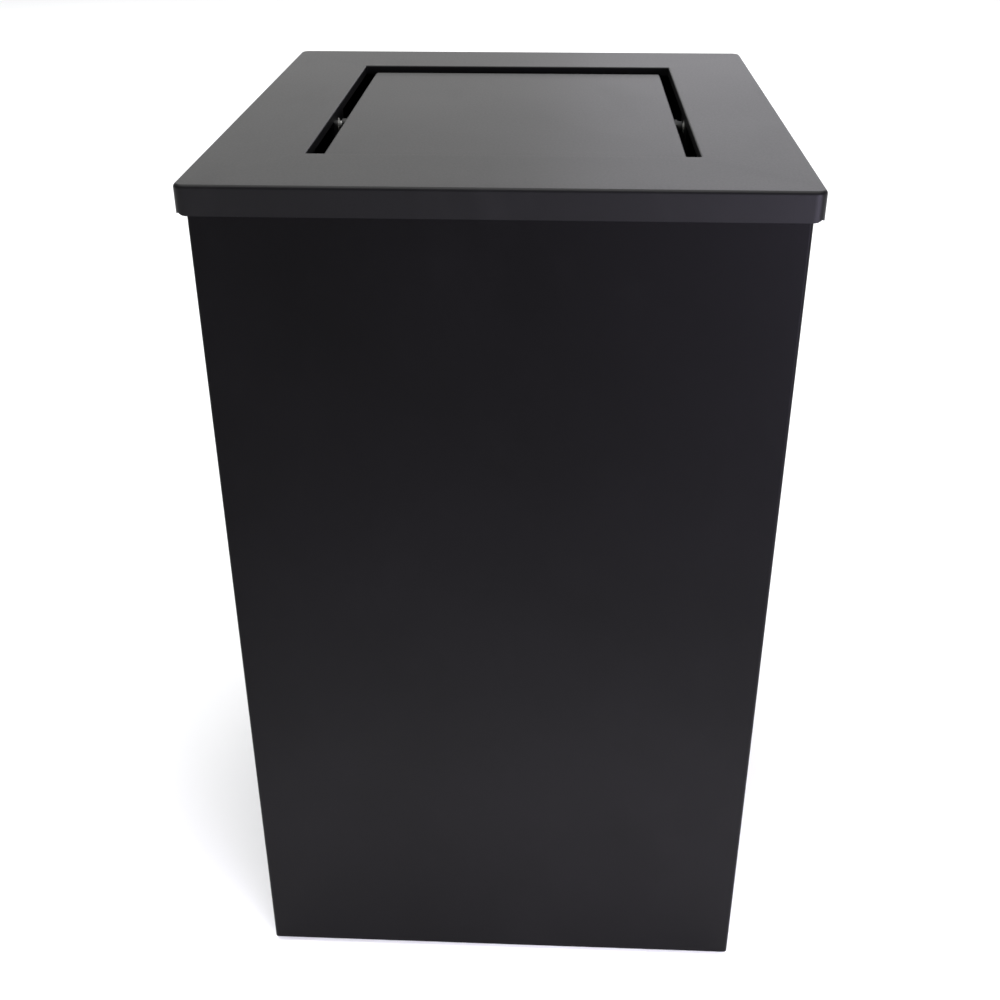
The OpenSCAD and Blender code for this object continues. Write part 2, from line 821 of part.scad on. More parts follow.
body_wrap();
back_panel();
floor_pan();
rim_frame();
rim_pads();
back_rivets();
foot(-1, -1);  // foot_front_left
foot(1, -1);  // foot_front_right
foot(-1, 1);  // foot_back_left
foot(1, 1);  // foot_back_right
foot_screws();
foot_washers();
foot_nuts();
liner_shell();
liner_base();
handle_lugs_left();
handle_lugs_right();
lug_rivets();
handle_wire_left();
handle_grip_left();
handle_wire_right();
handle_grip_right();
lid_cover();
lid_locating_tabs();
pivot_bracket_left();
pivot_bracket_right();
pivot_bush_left();
pivot_bush_right();
stop_pin_left();
stop_pin_right();
stop_sleeve_left();
stop_sleeve_right();
flap_panel();
flap_channel();
bar_hanger_left();
bar_hanger_right();
balance_bar();
bar_screws();
bar_nuts();
pivot_pin_left();
pivot_pin_right();
pivot_nuts();
pivot_spacers();
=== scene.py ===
"""Looks of a free-standing parcel drop box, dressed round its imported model.

Sheet pieces are rebuilt as swept numpy surfaces with the faint waviness of real folded sheet. Small
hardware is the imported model's own shape with eased edges. Every finish is a procedural material on object
coordinates.
"""

import logging
import math
from dataclasses import dataclass
from enum import Enum

import bmesh
import bpy
import numpy as np
from mathutils import Matrix, Vector


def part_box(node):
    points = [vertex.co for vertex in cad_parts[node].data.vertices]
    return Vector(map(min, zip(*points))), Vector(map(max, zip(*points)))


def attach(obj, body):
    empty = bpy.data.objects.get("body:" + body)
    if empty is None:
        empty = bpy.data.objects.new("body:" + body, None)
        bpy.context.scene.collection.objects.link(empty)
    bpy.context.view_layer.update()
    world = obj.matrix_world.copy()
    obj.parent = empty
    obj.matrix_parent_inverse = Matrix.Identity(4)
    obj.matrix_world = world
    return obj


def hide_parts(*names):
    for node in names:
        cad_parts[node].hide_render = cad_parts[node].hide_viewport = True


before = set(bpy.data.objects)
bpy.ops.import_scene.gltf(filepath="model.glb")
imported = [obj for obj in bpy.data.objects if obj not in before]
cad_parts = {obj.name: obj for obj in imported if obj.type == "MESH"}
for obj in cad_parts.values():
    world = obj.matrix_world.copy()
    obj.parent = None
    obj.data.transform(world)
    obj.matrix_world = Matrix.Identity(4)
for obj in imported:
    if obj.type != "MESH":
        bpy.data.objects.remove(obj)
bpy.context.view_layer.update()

log = logging.getLogger("parcel_box")

Socket = bpy.types.NodeSocket
Thing = bpy.types.Object
Triple = tuple[float, float, float]

MM = 0.001
UPWARDS = np.array([0.0, 0.0, 1.0])
UNLIMITED = 1.0


# ---------- Mesh building ----------


@dataclass
class Surface:
    """Points and faces of a mesh before it becomes an object."""

    points: np.ndarray
    faces: list[list[int]]


class Ends(Enum):
    """How the first and last rows of a swept surface are finished."""

    OPEN = "open"
    CAPPED = "capped"
    LAST_CAPPED = "last_capped"
    JOINED = "joined"


def grid_faces(rows: int, columns: int, columns_join: bool, rows_join: bool = False) -> np.ndarray:
    """Quads over a grid of points stored row by row.

    Args:
        rows: number of rows of points.
        columns: number of points in a row.
        columns_join: whether the last point of a row meets the first.
        rows_join: whether the last row meets the first.

    Returns:
        An (n, 4) array of point numbers, wound so that column direction cross row direction points outwards.
    """
    last_column = columns if columns_join else columns - 1
    last_row = rows if rows_join else rows - 1
    i = np.arange(last_row)[:, None]
    j = np.arange(last_column)[None, :]
    here, above = i * columns, ((i + 1) % rows) * columns
    right = (j + 1) % columns
    return np.stack([here + j, here + right, above + right, above + j], axis=-1).reshape(-1, 4)


def surface_from_grid(grid: np.ndarray, ends: Ends, columns_join: bool = True) -> Surface:
    """A surface over a (rows, columns, 3) grid of points.

    Args:
        grid: the points.
        ends: what happens at the first and last rows.
        columns_join: whether each row is a closed loop.

    Returns:
        The surface, with one many-sided face over each end where the ends are capped.
    """
    rows, columns = grid.shape[:2]
    faces = grid_faces(rows, columns, columns_join, ends is Ends.JOINED).tolist()
    if ends is Ends.CAPPED:
        faces.append(list(range(columns))[::-1])
    if ends in (Ends.CAPPED, Ends.LAST_CAPPED):
        faces.append(list(range((rows - 1) * columns, rows * columns)))
    return Surface(grid.reshape(-1, 3), faces)


def joined(surfaces: list[Surface]) -> Surface:
    """Several surfaces as one, their points numbered on from each other.

    Args:
        surfaces: the surfaces, in the order that their points are to have.

    Returns:
        The one surface.
    """
    points, faces, start = [], [], 0
    for surface in surfaces:
        points.append(surface.points)
        faces += [[start + corner for corner in face] for face in surface.faces]
        start += len(surface.points)
    return Surface(np.concatenate(points), faces)


def make_piece(name: str, surface: Surface, smooth: bool = True) -> Thing:
    """An object at the origin with the surface as its mesh.

    Args:
        name: the piece's name.
        surface: its points and faces, in metres, in the object's frame.
        smooth: whether its faces are shaded smooth.

    Returns:
        The new object, linked to the scene.
    """
    mesh = bpy.data.meshes.new(name)
    mesh.from_pydata(surface.points.tolist(), [], surface.faces)
    mesh.validate()
    mesh.polygons.foreach_set("use_smooth", np.full(len(mesh.polygons), smooth))
    mesh.update()
    piece = bpy.data.objects.new(name, mesh)
    bpy.context.scene.collection.objects.link(piece)
    return piece


def thicken(piece: Thing, thickness: float) -> None:
    """Gives an outer skin its sheet thickness, inwards, with the cut edges eased.

    Args:
        piece: the piece whose mesh is the skin.
        thickness: the sheet's thickness.
    """
    solidify = piece.modifiers.new("sheet", "SOLIDIFY")
    solidify.thickness = thickness
    solidify.offset = -1.0
    solidify.use_even_offset = True
    ease_edges(piece, 0.22 * MM, 50)


def ease_edges(piece: Thing, width: float, least_angle: float) -> None:
    """Bevels the sharp edges, and lets the large faces rule the shading.

    Args:
        piece: the piece.
        width: the bevel's width.
        least_angle: the smallest angle between two faces that counts as sharp, in degrees.
    """
    bevel = piece.modifiers.new("eased_edges", "BEVEL")
    bevel.width = width
    bevel.segments = 2
    bevel.limit_method = "ANGLE"
    bevel.angle_limit = math.radians(least_angle)
    steady_normals(piece)


def steady_normals(piece: Thing) -> None:
    """Weights each corner's normal by face area, so that flats stay flat beside tight bends.

    Args:
        piece: the piece.
    """
    weighted = piece.modifiers.new("normals", "WEIGHTED_NORMAL")
    weighted.mode = "FACE_AREA"
    weighted.weight = 100


def box_of(node: str) -> tuple[np.ndarray, np.ndarray]:
    """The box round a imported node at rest.

    Args:
        node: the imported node's name.

    Returns:
        Its lowest and highest corners, in metres.
    """
    low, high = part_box(node)
    return np.array(low), np.array(high)


# ---------- Curves and sweeps ----------


def side_fractions(steps: int) -> np.ndarray:
    """Places along a side: even steps, with closer ones near both corners, where the sheet turns.

    Args:
        steps: number of even steps.

    Returns:
        The places, 0 to 1 without the ends.
    """
    near = np.array([0.0035, 0.007, 0.011, 0.0155, 0.021])
    even = np.linspace(0.0, 1.0, steps + 1)[1:-1]
    return np.concatenate([near, even, 1 - near[::-1]])


def loop_pattern(corner_steps: int, side_steps: int) -> np.ndarray:
    """Coefficients of a rounded rectangle, counter-clockwise seen from above.

    A point is x = half_x * a + radius * b and y = half_y * c + radius * d. On a corner arc, a and c are the
    corner's signs, and b and d are the arc's cosine and sine less those signs. Along a side the four
    coefficients run linearly from the end of one arc to the start of the next.

    Args:
        corner_steps: steps round each corner.
        side_steps: even steps along each side.

    Returns:
        An (n, 4) array of a, b, c and d.
    """
    quarter = np.linspace(0.0, math.pi / 2, corner_steps + 1)
    angle = np.arange(4)[:, None] * math.pi / 2 + quarter
    sign_x = np.array([1.0, -1.0, -1.0, 1.0])[:, None] + 0 * angle
    sign_y = np.array([1.0, 1.0, -1.0, -1.0])[:, None] + 0 * angle
    corners = np.stack([sign_x, np.cos(angle) - sign_x, sign_y, np.sin(angle) - sign_y], axis=-1)
    along = side_fractions(side_steps)[None, :, None]
    sides = corners[:, -1:] * (1 - along) + np.roll(corners, -1, axis=0)[:, :1] * along
    return np.concatenate([corners, sides], axis=1).reshape(-1, 4)


@dataclass
class LoopStack:
    """A pile of rounded rectangles, one per row, whose sizes are arrays of the same length."""

    half_x: np.ndarray
    half_y: np.ndarray
    radius: np.ndarray
    height: np.ndarray
    centre_x: np.ndarray | float = 0.0
    centre_y: np.ndarray | float = 0.0
    corner_steps: int = 6
    side_steps: int = 40

    def grid(self) -> np.ndarray:
        """The (rows, columns, 3) points: each row is the pattern times that row's half sizes and radius."""
        pattern = loop_pattern(self.corner_steps, self.side_steps)
        rows = len(self.height)
        shift_x = np.broadcast_to(self.centre_x, rows)[:, None]
        shift_y = np.broadcast_to(self.centre_y, rows)[:, None]
        x = shift_x + self.half_x[:, None] * pattern[:, 0] + self.radius[:, None] * pattern[:, 1]
        y = shift_y + self.half_y[:, None] * pattern[:, 2] + self.radius[:, None] * pattern[:, 3]
        z = np.broadcast_to(self.height[:, None], x.shape)
        return np.stack([x, y, z], axis=-1)


def quarter_arc(radius: float, steps: int) -> tuple[np.ndarray, np.ndarray]:
    """A quarter arc from (0, 0) that leaves along the rise: run = r (1 - cos q) and rise = r sin q.

    Args:
        radius: the arc's radius.
        steps: number of steps round it.

    Returns:
        The run and the rise of its points.
    """
    angle = np.linspace(0.0, math.pi / 2, steps + 1)
    return radius * (1 - np.cos(angle)), radius * np.sin(angle)


def filleted_path(corners: np.ndarray, radii: list[float], arc_steps: int, spacing: float) -> np.ndarray:
    """A polyline with its inner corners rounded and its straights divided evenly.

    At a corner, with a and b the unit directions in and out and t the angle between them, the arc starts r
    tan(t/2) before the corner and its points are start + r sin(q) a + r (1 - cos(q)) m, where m is the part
    of b square to a, made a unit vector, and q runs from 0 to t.

    Args:
        corners: the (n, d) corner points.
        radii: radius of the arc at each inner corner.
        arc_steps: steps round each arc.
        spacing: longest step along a straight.

    Returns:
        The (m, d) points of the path.
    """
    pieces = [corners[:1]]
    for before, corner, after, radius in zip(corners[:-2], corners[1:-1], corners[2:], radii):
        inward = (corner - before) / np.linalg.norm(corner - before)
        outward = (after - corner) / np.linalg.norm(after - corner)
        turn = math.acos(float(np.clip(inward @ outward, -1.0, 1.0)))
        aside = outward - (inward @ outward) * inward
        aside /= np.linalg.norm(aside)
        swept = np.linspace(0.0, turn, arc_steps + 1)[:, None]
        start = corner - inward * radius * math.tan(turn / 2)
        pieces.append(start + radius * (np.sin(swept) * inward + (1 - np.cos(swept)) * aside))
    pieces.append(corners[-1:])
    rough = np.concatenate(pieces)
    filled = [rough[:1]]
    for start, end in zip(rough[:-1], rough[1:]):
        steps = max(1, math.ceil(float(np.linalg.norm(end - start)) / spacing))
        filled.append(start + (end - start) * np.linspace(0.0, 1.0, steps + 1)[1:, None])
    return np.concatenate(filled)


def path_directions(path: np.ndarray) -> np.ndarray:
    """Unit tangent at each point of a path, from its neighbours on both sides.

    Args:
        path: the (n, d) points.

    Returns:
        The (n, d) tangents.
    """
    tangent = np.gradient(path, axis=0)
    return tangent / np.linalg.norm(tangent, axis=1, keepdims=True)


def tube_grid(path: np.ndarray, radius: np.ndarray, side: np.ndarray, sides: int) -> np.ndarray:
    """Rings round a path that lies in one plane.

    A point is path + r cos(q) s + r sin(q) (t cross s), where s is the plane's normal and t the path's
    tangent.

    Args:
        path: the (n, 3) centre line.
        radius: the radius at each of its points.
        side: unit normal of the plane that the path lies in.
        sides: points round each ring.

    Returns:
        The (n, sides, 3) points.
    """
    tangent = path_directions(path)
    across = np.cross(tangent, side)
    angle = np.linspace(0.0, 2 * math.pi, sides, endpoint=False)
    offset = np.cos(angle)[None, :, None] * side + np.sin(angle)[None, :, None] * across[:, None, :]
    return path[:, None, :] + radius[:, None, None] * offset


def domed_radius(path: np.ndarray, radius: float, dome: float) -> np.ndarray:
    """Radius along a tube whose ends close in a quarter ellipse: r sqrt(1 - (1 - s / dome)^2).

    Args:
        path: the (n, 3) centre line.
        radius: the tube's full radius.
        dome: length of the quarter ellipse at each end.

    Returns:
        The radius at each of the path's points.
    """
    steps = np.linalg.norm(np.diff(path, axis=0), axis=1)
    run = np.concatenate([[0.0], np.cumsum(steps)])
    from_end = np.minimum(run, run[-1] - run)
    closing = np.clip(1 - from_end / dome, 0.0, 0.985)
    return radius * np.sqrt(1 - closing**2)


def ring_grid(profile: np.ndarray, origin: np.ndarray, axis: np.ndarray, segments: int) -> np.ndarray:
    """A closed profile turned about an axis.

    A point is origin + h axis + r (cos(q) u + sin(q) v), where u and v are square to the axis.

    Args:
        profile: (n, 2) radius and height pairs, in order round the section with the metal on the left.
        origin: where height is zero on the axis.
        axis: unit direction of increasing height.
        segments: steps round the axis.

    Returns:
        The (n, segments, 3) points.
    """
    helper = UPWARDS if abs(axis[2]) < 0.9 else np.array([1.0, 0.0, 0.0])
    first = np.cross(helper, axis)
    first /= np.linalg.norm(first)
    second = np.cross(axis, first)
    angle = np.linspace(0.0, 2 * math.pi, segments, endpoint=False)
    spoke = np.cos(angle)[:, None] * first + np.sin(angle)[:, None] * second
    return origin + profile[:, 1, None, None] * axis + profile[:, 0, None, None] * spoke[None]


def sheet_waves(u: np.ndarray, v: np.ndarray, depth: float, seed: int) -> np.ndarray:
    """Waviness of a flat sheet held at its edges.

    Five sine waves of long, random wavelengths and directions are added, and the sum is faded to nothing at
    the edges by the square root of sin(pi u) sin(pi v).

    Args:
        u: place across the sheet, 0 to 1.
        v: place up the sheet, 0 to 1.
        depth: rough height of the waves.
        seed: which sheet this is.

    Returns:
        Height of the sheet above its flat, the same shape as u and v.
    """
    draw = np.random.default_rng(seed)
    total = np.zeros(np.broadcast(u, v).shape)
    for _ in range(5):
        across, up = draw.uniform(0.5, 2.6, 2) * draw.choice([-1, 1], 2)
        phase, share = draw.uniform(0, 2 * math.pi), draw.uniform(0.4, 1.0)
        total = total + share * np.sin(math.pi * (across * u + up * v) + phase)
    held = np.clip(np.sin(math.pi * np.clip(u, 0, 1)) * np.sin(math.pi * np.clip(v, 0, 1)), 0, None)
    return depth * total / 2.2 * np.sqrt(held)


# ---------- Finishes ----------


class NodeGraph:
    """Adds shader nodes to one tree and wires them."""

    def __init__(self, tree: bpy.types.NodeTree) -> None:
        """Starts from an empty tree."""
        self.tree = tree
        self.tree.nodes.clear()

    def add(self, kind: str, inputs: dict | None = None, **settings: object) -> bpy.types.Node:
        """Adds a node.

        Args:
            kind: the node's type name.
            inputs: input socket to its value, or to the output socket to link to it.
            settings: attributes of the node.

        Returns:
            The node.
        """
        node = self.tree.nodes.new(kind)
        for attribute, value in settings.items():
            setattr(node, attribute, value)
        for socket, value in (inputs or {}).items():
            if isinstance(value, Socket):
                self.tree.links.new(value, node.inputs[socket])
            else:
                node.inputs[socket].default_value = value
        return node

    def noise(self, place: Socket, scale: float, detail: float = 2.0, rough: float = 0.5) -> Socket:
        """Adds a noise.

        Args:
            place: where on the piece.
            scale: cells per metre.
            detail: octaves of finer noise.
            rough: share of each finer octave.

        Returns:
            The noise's value.
        """
        settings = {"Vector": place, "Scale": scale, "Detail": detail, "Roughness": rough}
        return self.add("ShaderNodeTexNoise", settings).outputs["Fac"]

    def spread(self, value: Socket, low: float, high: float, out_low: float, out_high: float) -> Socket:
        """Stretches a value from one range to another, and clamps it.

        Args:
            value: the value.
            low: what becomes out_low.
            high: what becomes out_high.
            out_low: start of the new range.
            out_high: end of the new range.

        Returns:
            The new value.
        """
        settings = {"Value": value, "From Min": low, "From Max": high, "To Min": out_low, "To Max": out_high}
        return self.add("ShaderNodeMapRange", settings).outputs["Result"]

    def maths(self, operation: str, first: object, second: object = 0.0) -> Socket:
        """Adds one arithmetic step.

        Args:
            operation: the step's name.
            first: its first number or socket.
            second: its second number or socket.

        Returns:
            The result.
        """
        return self.add("ShaderNodeMath", {0: first, 1: second}, operation=operation).outputs["Value"]

    def blend(self, share: object, first: object, second: object) -> Socket:
        """Mixes two colours.

        Args:
            share: how much of the second, 0 to 1.
            first: a colour or a socket.
            second: a colour or a socket.

        Returns:
            The mixed colour.
        """
        node = self.add("ShaderNodeMix", {"Factor": share}, data_type="RGBA")
        for socket, colour in ((node.inputs[6], first), (node.inputs[7], second)):
            if isinstance(colour, Socket):
                self.tree.links.new(colour, socket)
            else:
                socket.default_value = (*colour, 1.0)
        return node.outputs[2]

    def bump(self, height: Socket, distance: float, normal: Socket | None = None) -> Socket:
        """Adds a relief.

        Args:
            height: its height, 0 to 1.
            distance: how deep it is, in metres.
            normal: the relief that it lies over, if any.

        Returns:
            The surface's normal.
        """
        settings = {"Height": height, "Distance": distance, "Strength": 1.0}
        if normal is not None:
            settings["Normal"] = normal
        return self.add("ShaderNodeBump", settings).outputs["Normal"]


def new_material(name: str) -> tuple[bpy.types.Material, NodeGraph, Socket]:
    """Starts a node material.

    Args:
        name: its name.

    Returns:
        The material, its graph and its object coordinates.
    """
    material = bpy.data.materials.new(name)
    material.use_nodes = True
    graph = NodeGraph(material.node_tree)
    place = graph.add("ShaderNodeTexCoord").outputs["Object"]
    return material, graph, place


def finish_material(graph: NodeGraph, inputs: dict) -> None:
    """Adds the principled shader and the output.

    Args:
        graph: the material's graph.
        inputs: the shader's inputs, each a number, a colour or a socket.
    """
    shader = graph.add("ShaderNodeBsdfPrincipled", inputs)
    graph.add("ShaderNodeOutputMaterial", {"Surface": shader.outputs["BSDF"]})


@dataclass(frozen=True)
class PowderCoat:
    """Satin black powder coat: fine orange peel, patchy gloss, faint wipe marks and dust on what faces up."""

    name: str
    dark: Triple = (0.0042, 0.0040, 0.0042)
    light: Triple = (0.0058, 0.0055, 0.0059)
    roughness: float = 0.40
    specular: float = 0.16
    peel: float = 0.012 * MM
    dust: float = 0.06
    wiped: float = 0.012
    dust_colour: Triple = (0.16, 0.155, 0.15)

    def build(self) -> bpy.types.Material:
        """The material."""
        material, graph, place = new_material(self.name)
        patches = graph.noise(place, 5.0, 4.0, 0.6)
        colour = graph.blend(graph.spread(patches, 0.35, 0.65, 0.0, 1.0), self.dark, self.light)
        along_wipes = {"Vector": place, "Scale": (1.0, 0.35, 0.5), "Rotation": (0.0, 0.0, 0.6)}
        stretched = graph.add("ShaderNodeMapping", along_wipes).outputs["Vector"]
        wipes = graph.spread(graph.noise(stretched, 22.0, 5.0, 0.65), 0.54, 0.74, 0.0, 1.0)
        grain = graph.noise(place, 620.0, 2.0)
        specks = graph.spread(graph.noise(place, 900.0, 1.0), 0.74, 0.80, 0.0, 1.0)
        facing = graph.add("ShaderNodeSeparateXYZ", {0: graph.add("ShaderNodeNewGeometry").outputs["Normal"]})
        upward = graph.spread(facing.outputs["Z"], 0.5, 1.0, 0.0, 1.0)
        dusty = graph.maths("MULTIPLY", graph.maths("MULTIPLY", specks, upward), self.dust)
        haze = graph.maths("MULTIPLY", wipes, self.wiped)
        colour = graph.blend(graph.maths("ADD", dusty, haze), colour, self.dust_colour)
        satin = graph.noise(place, 3.2, 3.0)
        rough = graph.spread(satin, 0.3, 0.7, self.roughness - 0.015, self.roughness + 0.015)
        rough = graph.maths("ADD", rough, graph.maths("MULTIPLY", wipes, 0.018))
        rough = graph.maths("ADD", rough, graph.spread(grain, 0.3, 0.7, -0.02, 0.02))
        normal = graph.bump(grain, self.peel)
        normal = graph.bump(graph.noise(place, 150.0, 2.0), self.peel * 2.2, normal)
        finish_material(
            graph,
            {"Base Color": colour, "Roughness": rough, "Normal": normal, "Specular IOR Level": self.specular},
        )
        return material


@dataclass(frozen=True)
class GalvanisedSheet:
    """Hot-dip galvanised steel: crystals of slightly different grey and gloss, with dull streaks."""

    name: str
    crystals_per_metre: float = 95.0
    dark: Triple = (0.36, 0.375, 0.39)
    light: Triple = (0.56, 0.575, 0.59)
    streak: Triple = (0.30, 0.31, 0.32)

    def build(self) -> bpy.types.Material:
        """The material."""
        material, graph, place = new_material(self.name)
        warp = graph.add("ShaderNodeTexNoise", {"Vector": place, "Scale": 60.0, "Detail": 3.0})
        shares = {0: warp.outputs["Color"], 1: (0.006, 0.006, 0.006)}
        bent = graph.add("ShaderNodeVectorMath", shares, operation="MULTIPLY")
        moved = graph.add("ShaderNodeVectorMath", {0: place, 1: bent.outputs[0]}, operation="ADD").outputs[0]
        cells = graph.add("ShaderNodeTexVoronoi", {"Vector": moved, "Scale": self.crystals_per_metre})
        shade = graph.add("ShaderNodeSeparateColor", {0: cells.outputs["Color"]})
        streaks = graph.spread(graph.noise(place, 14.0, 5.0, 0.7), 0.35, 0.7, 0.0, 1.0)
        colour = graph.blend(shade.outputs[0], self.dark, self.light)
        colour = graph.blend(graph.maths("MULTIPLY", streaks, 0.35), colour, self.streak)
        rough = graph.spread(shade.outputs[1], 0.0, 1.0, 0.26, 0.46)
        rough = graph.maths("ADD", rough, graph.maths("MULTIPLY", streaks, 0.10))
        normal = graph.bump(shade.outputs[2], 0.004 * MM)
        normal = graph.bump(graph.noise(place, 260.0, 2.0), 0.010 * MM, normal)
        finish_material(graph, {"Base Color": colour, "Roughness": rough, "Normal": normal, "Metallic": 1.0})
        return material


@dataclass(frozen=True)
class ZincPlate:
    """Bright zinc-plated steel with a faint blue and straw tint and fine drawing marks."""

    name: str
    cold: Triple = (0.60, 0.63, 0.67)
    warm: Triple = (0.68, 0.655, 0.58)
    drawn_along: Triple = (0.12, 1.0, 1.0)
    roughness: float = 0.30

    def build(self) -> bpy.types.Material:
        """The material."""
        material, graph, place = new_material(self.name)
        tint = graph.noise(place, 70.0, 3.0)
        colour = graph.blend(graph.spread(tint, 0.35, 0.65, 0.0, 1.0), self.cold, self.warm)
        drawn = graph.add("ShaderNodeMapping", {"Vector": place, "Scale": self.drawn_along}).outputs["Vector"]
        marks = graph.noise(drawn, 1500.0, 3.0)
        dull = graph.spread(graph.noise(place, 45.0, 4.0), 0.35, 0.7, 0.0, 0.14)
        scored = graph.spread(marks, 0.3, 0.7, self.roughness - 0.05, self.roughness + 0.05)
        rough = graph.maths("ADD", dull, scored)
        normal = graph.bump(marks, 0.004 * MM)
        finish_material(graph, {"Base Color": colour, "Roughness": rough, "Normal": normal, "Metallic": 1.0})
        return material


@dataclass(frozen=True)
class MouldedPlastic:
    """Rubber, nylon or a grip's vinyl: an even colour with cloudy patches and a fine moulded grain."""

    name: str
    dark: Triple
    light: Triple
    roughness: float
    specular: float = 0.4
    grain: float = 0.02 * MM

    def build(self) -> bpy.types.Material:
        """The material."""
        material, graph, place = new_material(self.name)
        cloud = graph.spread(graph.noise(place, 55.0, 4.0, 0.6), 0.35, 0.65, 0.0, 1.0)
        fine = graph.noise(place, 1100.0, 2.0)
        rough = graph.spread(fine, 0.3, 0.7, self.roughness - 0.06, self.roughness + 0.06)
        finish_material(
            graph,
            {
                "Base Color": graph.blend(cloud, self.dark, self.light),
                "Roughness": rough,
                "Normal": graph.bump(fine, self.grain),
                "Specular IOR Level": self.specular,
            },
        )
        return material


class Finish(Enum):
    """The finishes of this box and what each is made of."""

    # Painted shade: this is the same black powder coat as the lid's, given a darker base colour and a lower
    # specular level so that the box's front comes out darker, as if in shade.
    BODY_COAT = PowderCoat(
        "body_powder_coat_painted_shade",
        dark=(0.0026, 0.0024, 0.0026),
        light=(0.0037, 0.0034, 0.0038),
        roughness=0.36,
        specular=0.065,
        dust=0.012,
        wiped=0.004,
    )
    LID_COAT = PowderCoat("lid_powder_coat")
    FLAP_COAT = PowderCoat("flap_powder_coat", wiped=0.02)
    GALVANISED = GalvanisedSheet("galvanised_sheet")
    ZINC = ZincPlate("zinc_plate")
    # Painted shade: this is a darkened copy of the zinc plate. Its near-black colour stands in for the shade
    # of the side gaps where the pivot nuts and spacers sit.
    DULL_ZINC = ZincPlate("shaded_zinc_plate", (0.035, 0.036, 0.039), (0.05, 0.049, 0.046), roughness=0.5)
    RUBBER = MouldedPlastic("black_rubber", (0.012, 0.012, 0.012), (0.022, 0.021, 0.021), 0.78, 0.3)
    GRIP = MouldedPlastic("grip_vinyl", (0.016, 0.016, 0.017), (0.026, 0.026, 0.028), 0.55)
    NYLON = MouldedPlastic("natural_nylon", (0.70, 0.68, 0.62), (0.78, 0.77, 0.72), 0.42)

    def material(self) -> bpy.types.Material:
        """The finish's material, built the first time that it is asked for."""
        return bpy.data.materials.get(self.value.name) or self.value.build()


def dress(piece: Thing, finish: Finish) -> None:
    """Gives a piece one finish all over.

    Args:
        piece: the piece.
        finish: its finish.
    """
    piece.data.materials.clear()
    piece.data.materials.append(finish.material())


def place_piece(piece: Thing, body: str, finish: Finish, nodes: list[str]) -> None:
    """Dresses a new piece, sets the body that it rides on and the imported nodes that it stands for.

    Args:
        piece: the finished piece.
        body: name of the body that it moves with.
        finish: its finish.
        nodes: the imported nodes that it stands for, if any.
    """
    dress(piece, finish)
    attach(piece, body)
    if nodes:
        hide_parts(*nodes)
    log.info("%s: rides on %s, stands for %s", piece.name, body, nodes or "nothing packed")


def eased_copy(node: str, name: str, ease: float) -> Thing:
    """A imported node's own shape with its loose triangles merged and its sharp edges eased.

    Args:
        node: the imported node.
        name: name of the new piece.
        ease: width of the bevel on each sharp edge.

    Returns:
        The new piece, with a live bevel.
    """
    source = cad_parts[node].data
    points = np.zeros(len(source.vertices) * 3)
    source.vertices.foreach_get("co", points)
    corners = np.zeros(len(source.loops), dtype=np.int64)
    source.loops.foreach_get("vertex_index", corners)
    merged_within = 0.002 * MM
    keys = np.round(points.reshape(-1, 3) / merged_within).astype(np.int64)
    _, first, number = np.unique(keys, axis=0, return_index=True, return_inverse=True)
    triangles = number.ravel()[corners].reshape(-1, 3)
    whole = (triangles != np.roll(triangles, 1, axis=1)).all(axis=1)
    piece = make_piece(name, Surface(points.reshape(-1, 3)[first], triangles[whole].tolist()))
    flat = bmesh.new()
    flat.from_mesh(piece.data)
    bmesh.ops.dissolve_limit(flat, angle_limit=math.radians(0.8), verts=flat.verts, edges=flat.edges)
    bmesh.ops.recalc_face_normals(flat, faces=flat.faces)
    flat.to_mesh(piece.data)
    flat.free()
    ease_edges(piece, ease, 38)
    return piece


def ease_node(node: str, name: str, ease: float, body: str, slot: str, finish: Finish) -> None:
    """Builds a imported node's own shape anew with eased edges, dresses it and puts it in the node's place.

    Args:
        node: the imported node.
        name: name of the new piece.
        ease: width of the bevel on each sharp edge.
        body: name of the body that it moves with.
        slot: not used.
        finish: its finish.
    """
    place_piece(eased_copy(node, name, ease), body, finish, [node])


def dress_node(node: str, finish: Finish) -> None:
    """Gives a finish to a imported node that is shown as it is.

    Args:
        node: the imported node's name.
        finish: its finish.
    """
    for material_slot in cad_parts[node].material_slots:
        material_slot.material = finish.material()
    log.info("%s: packed shape, finish %s", node, finish.name)


# ---------- Sheet trays ----------


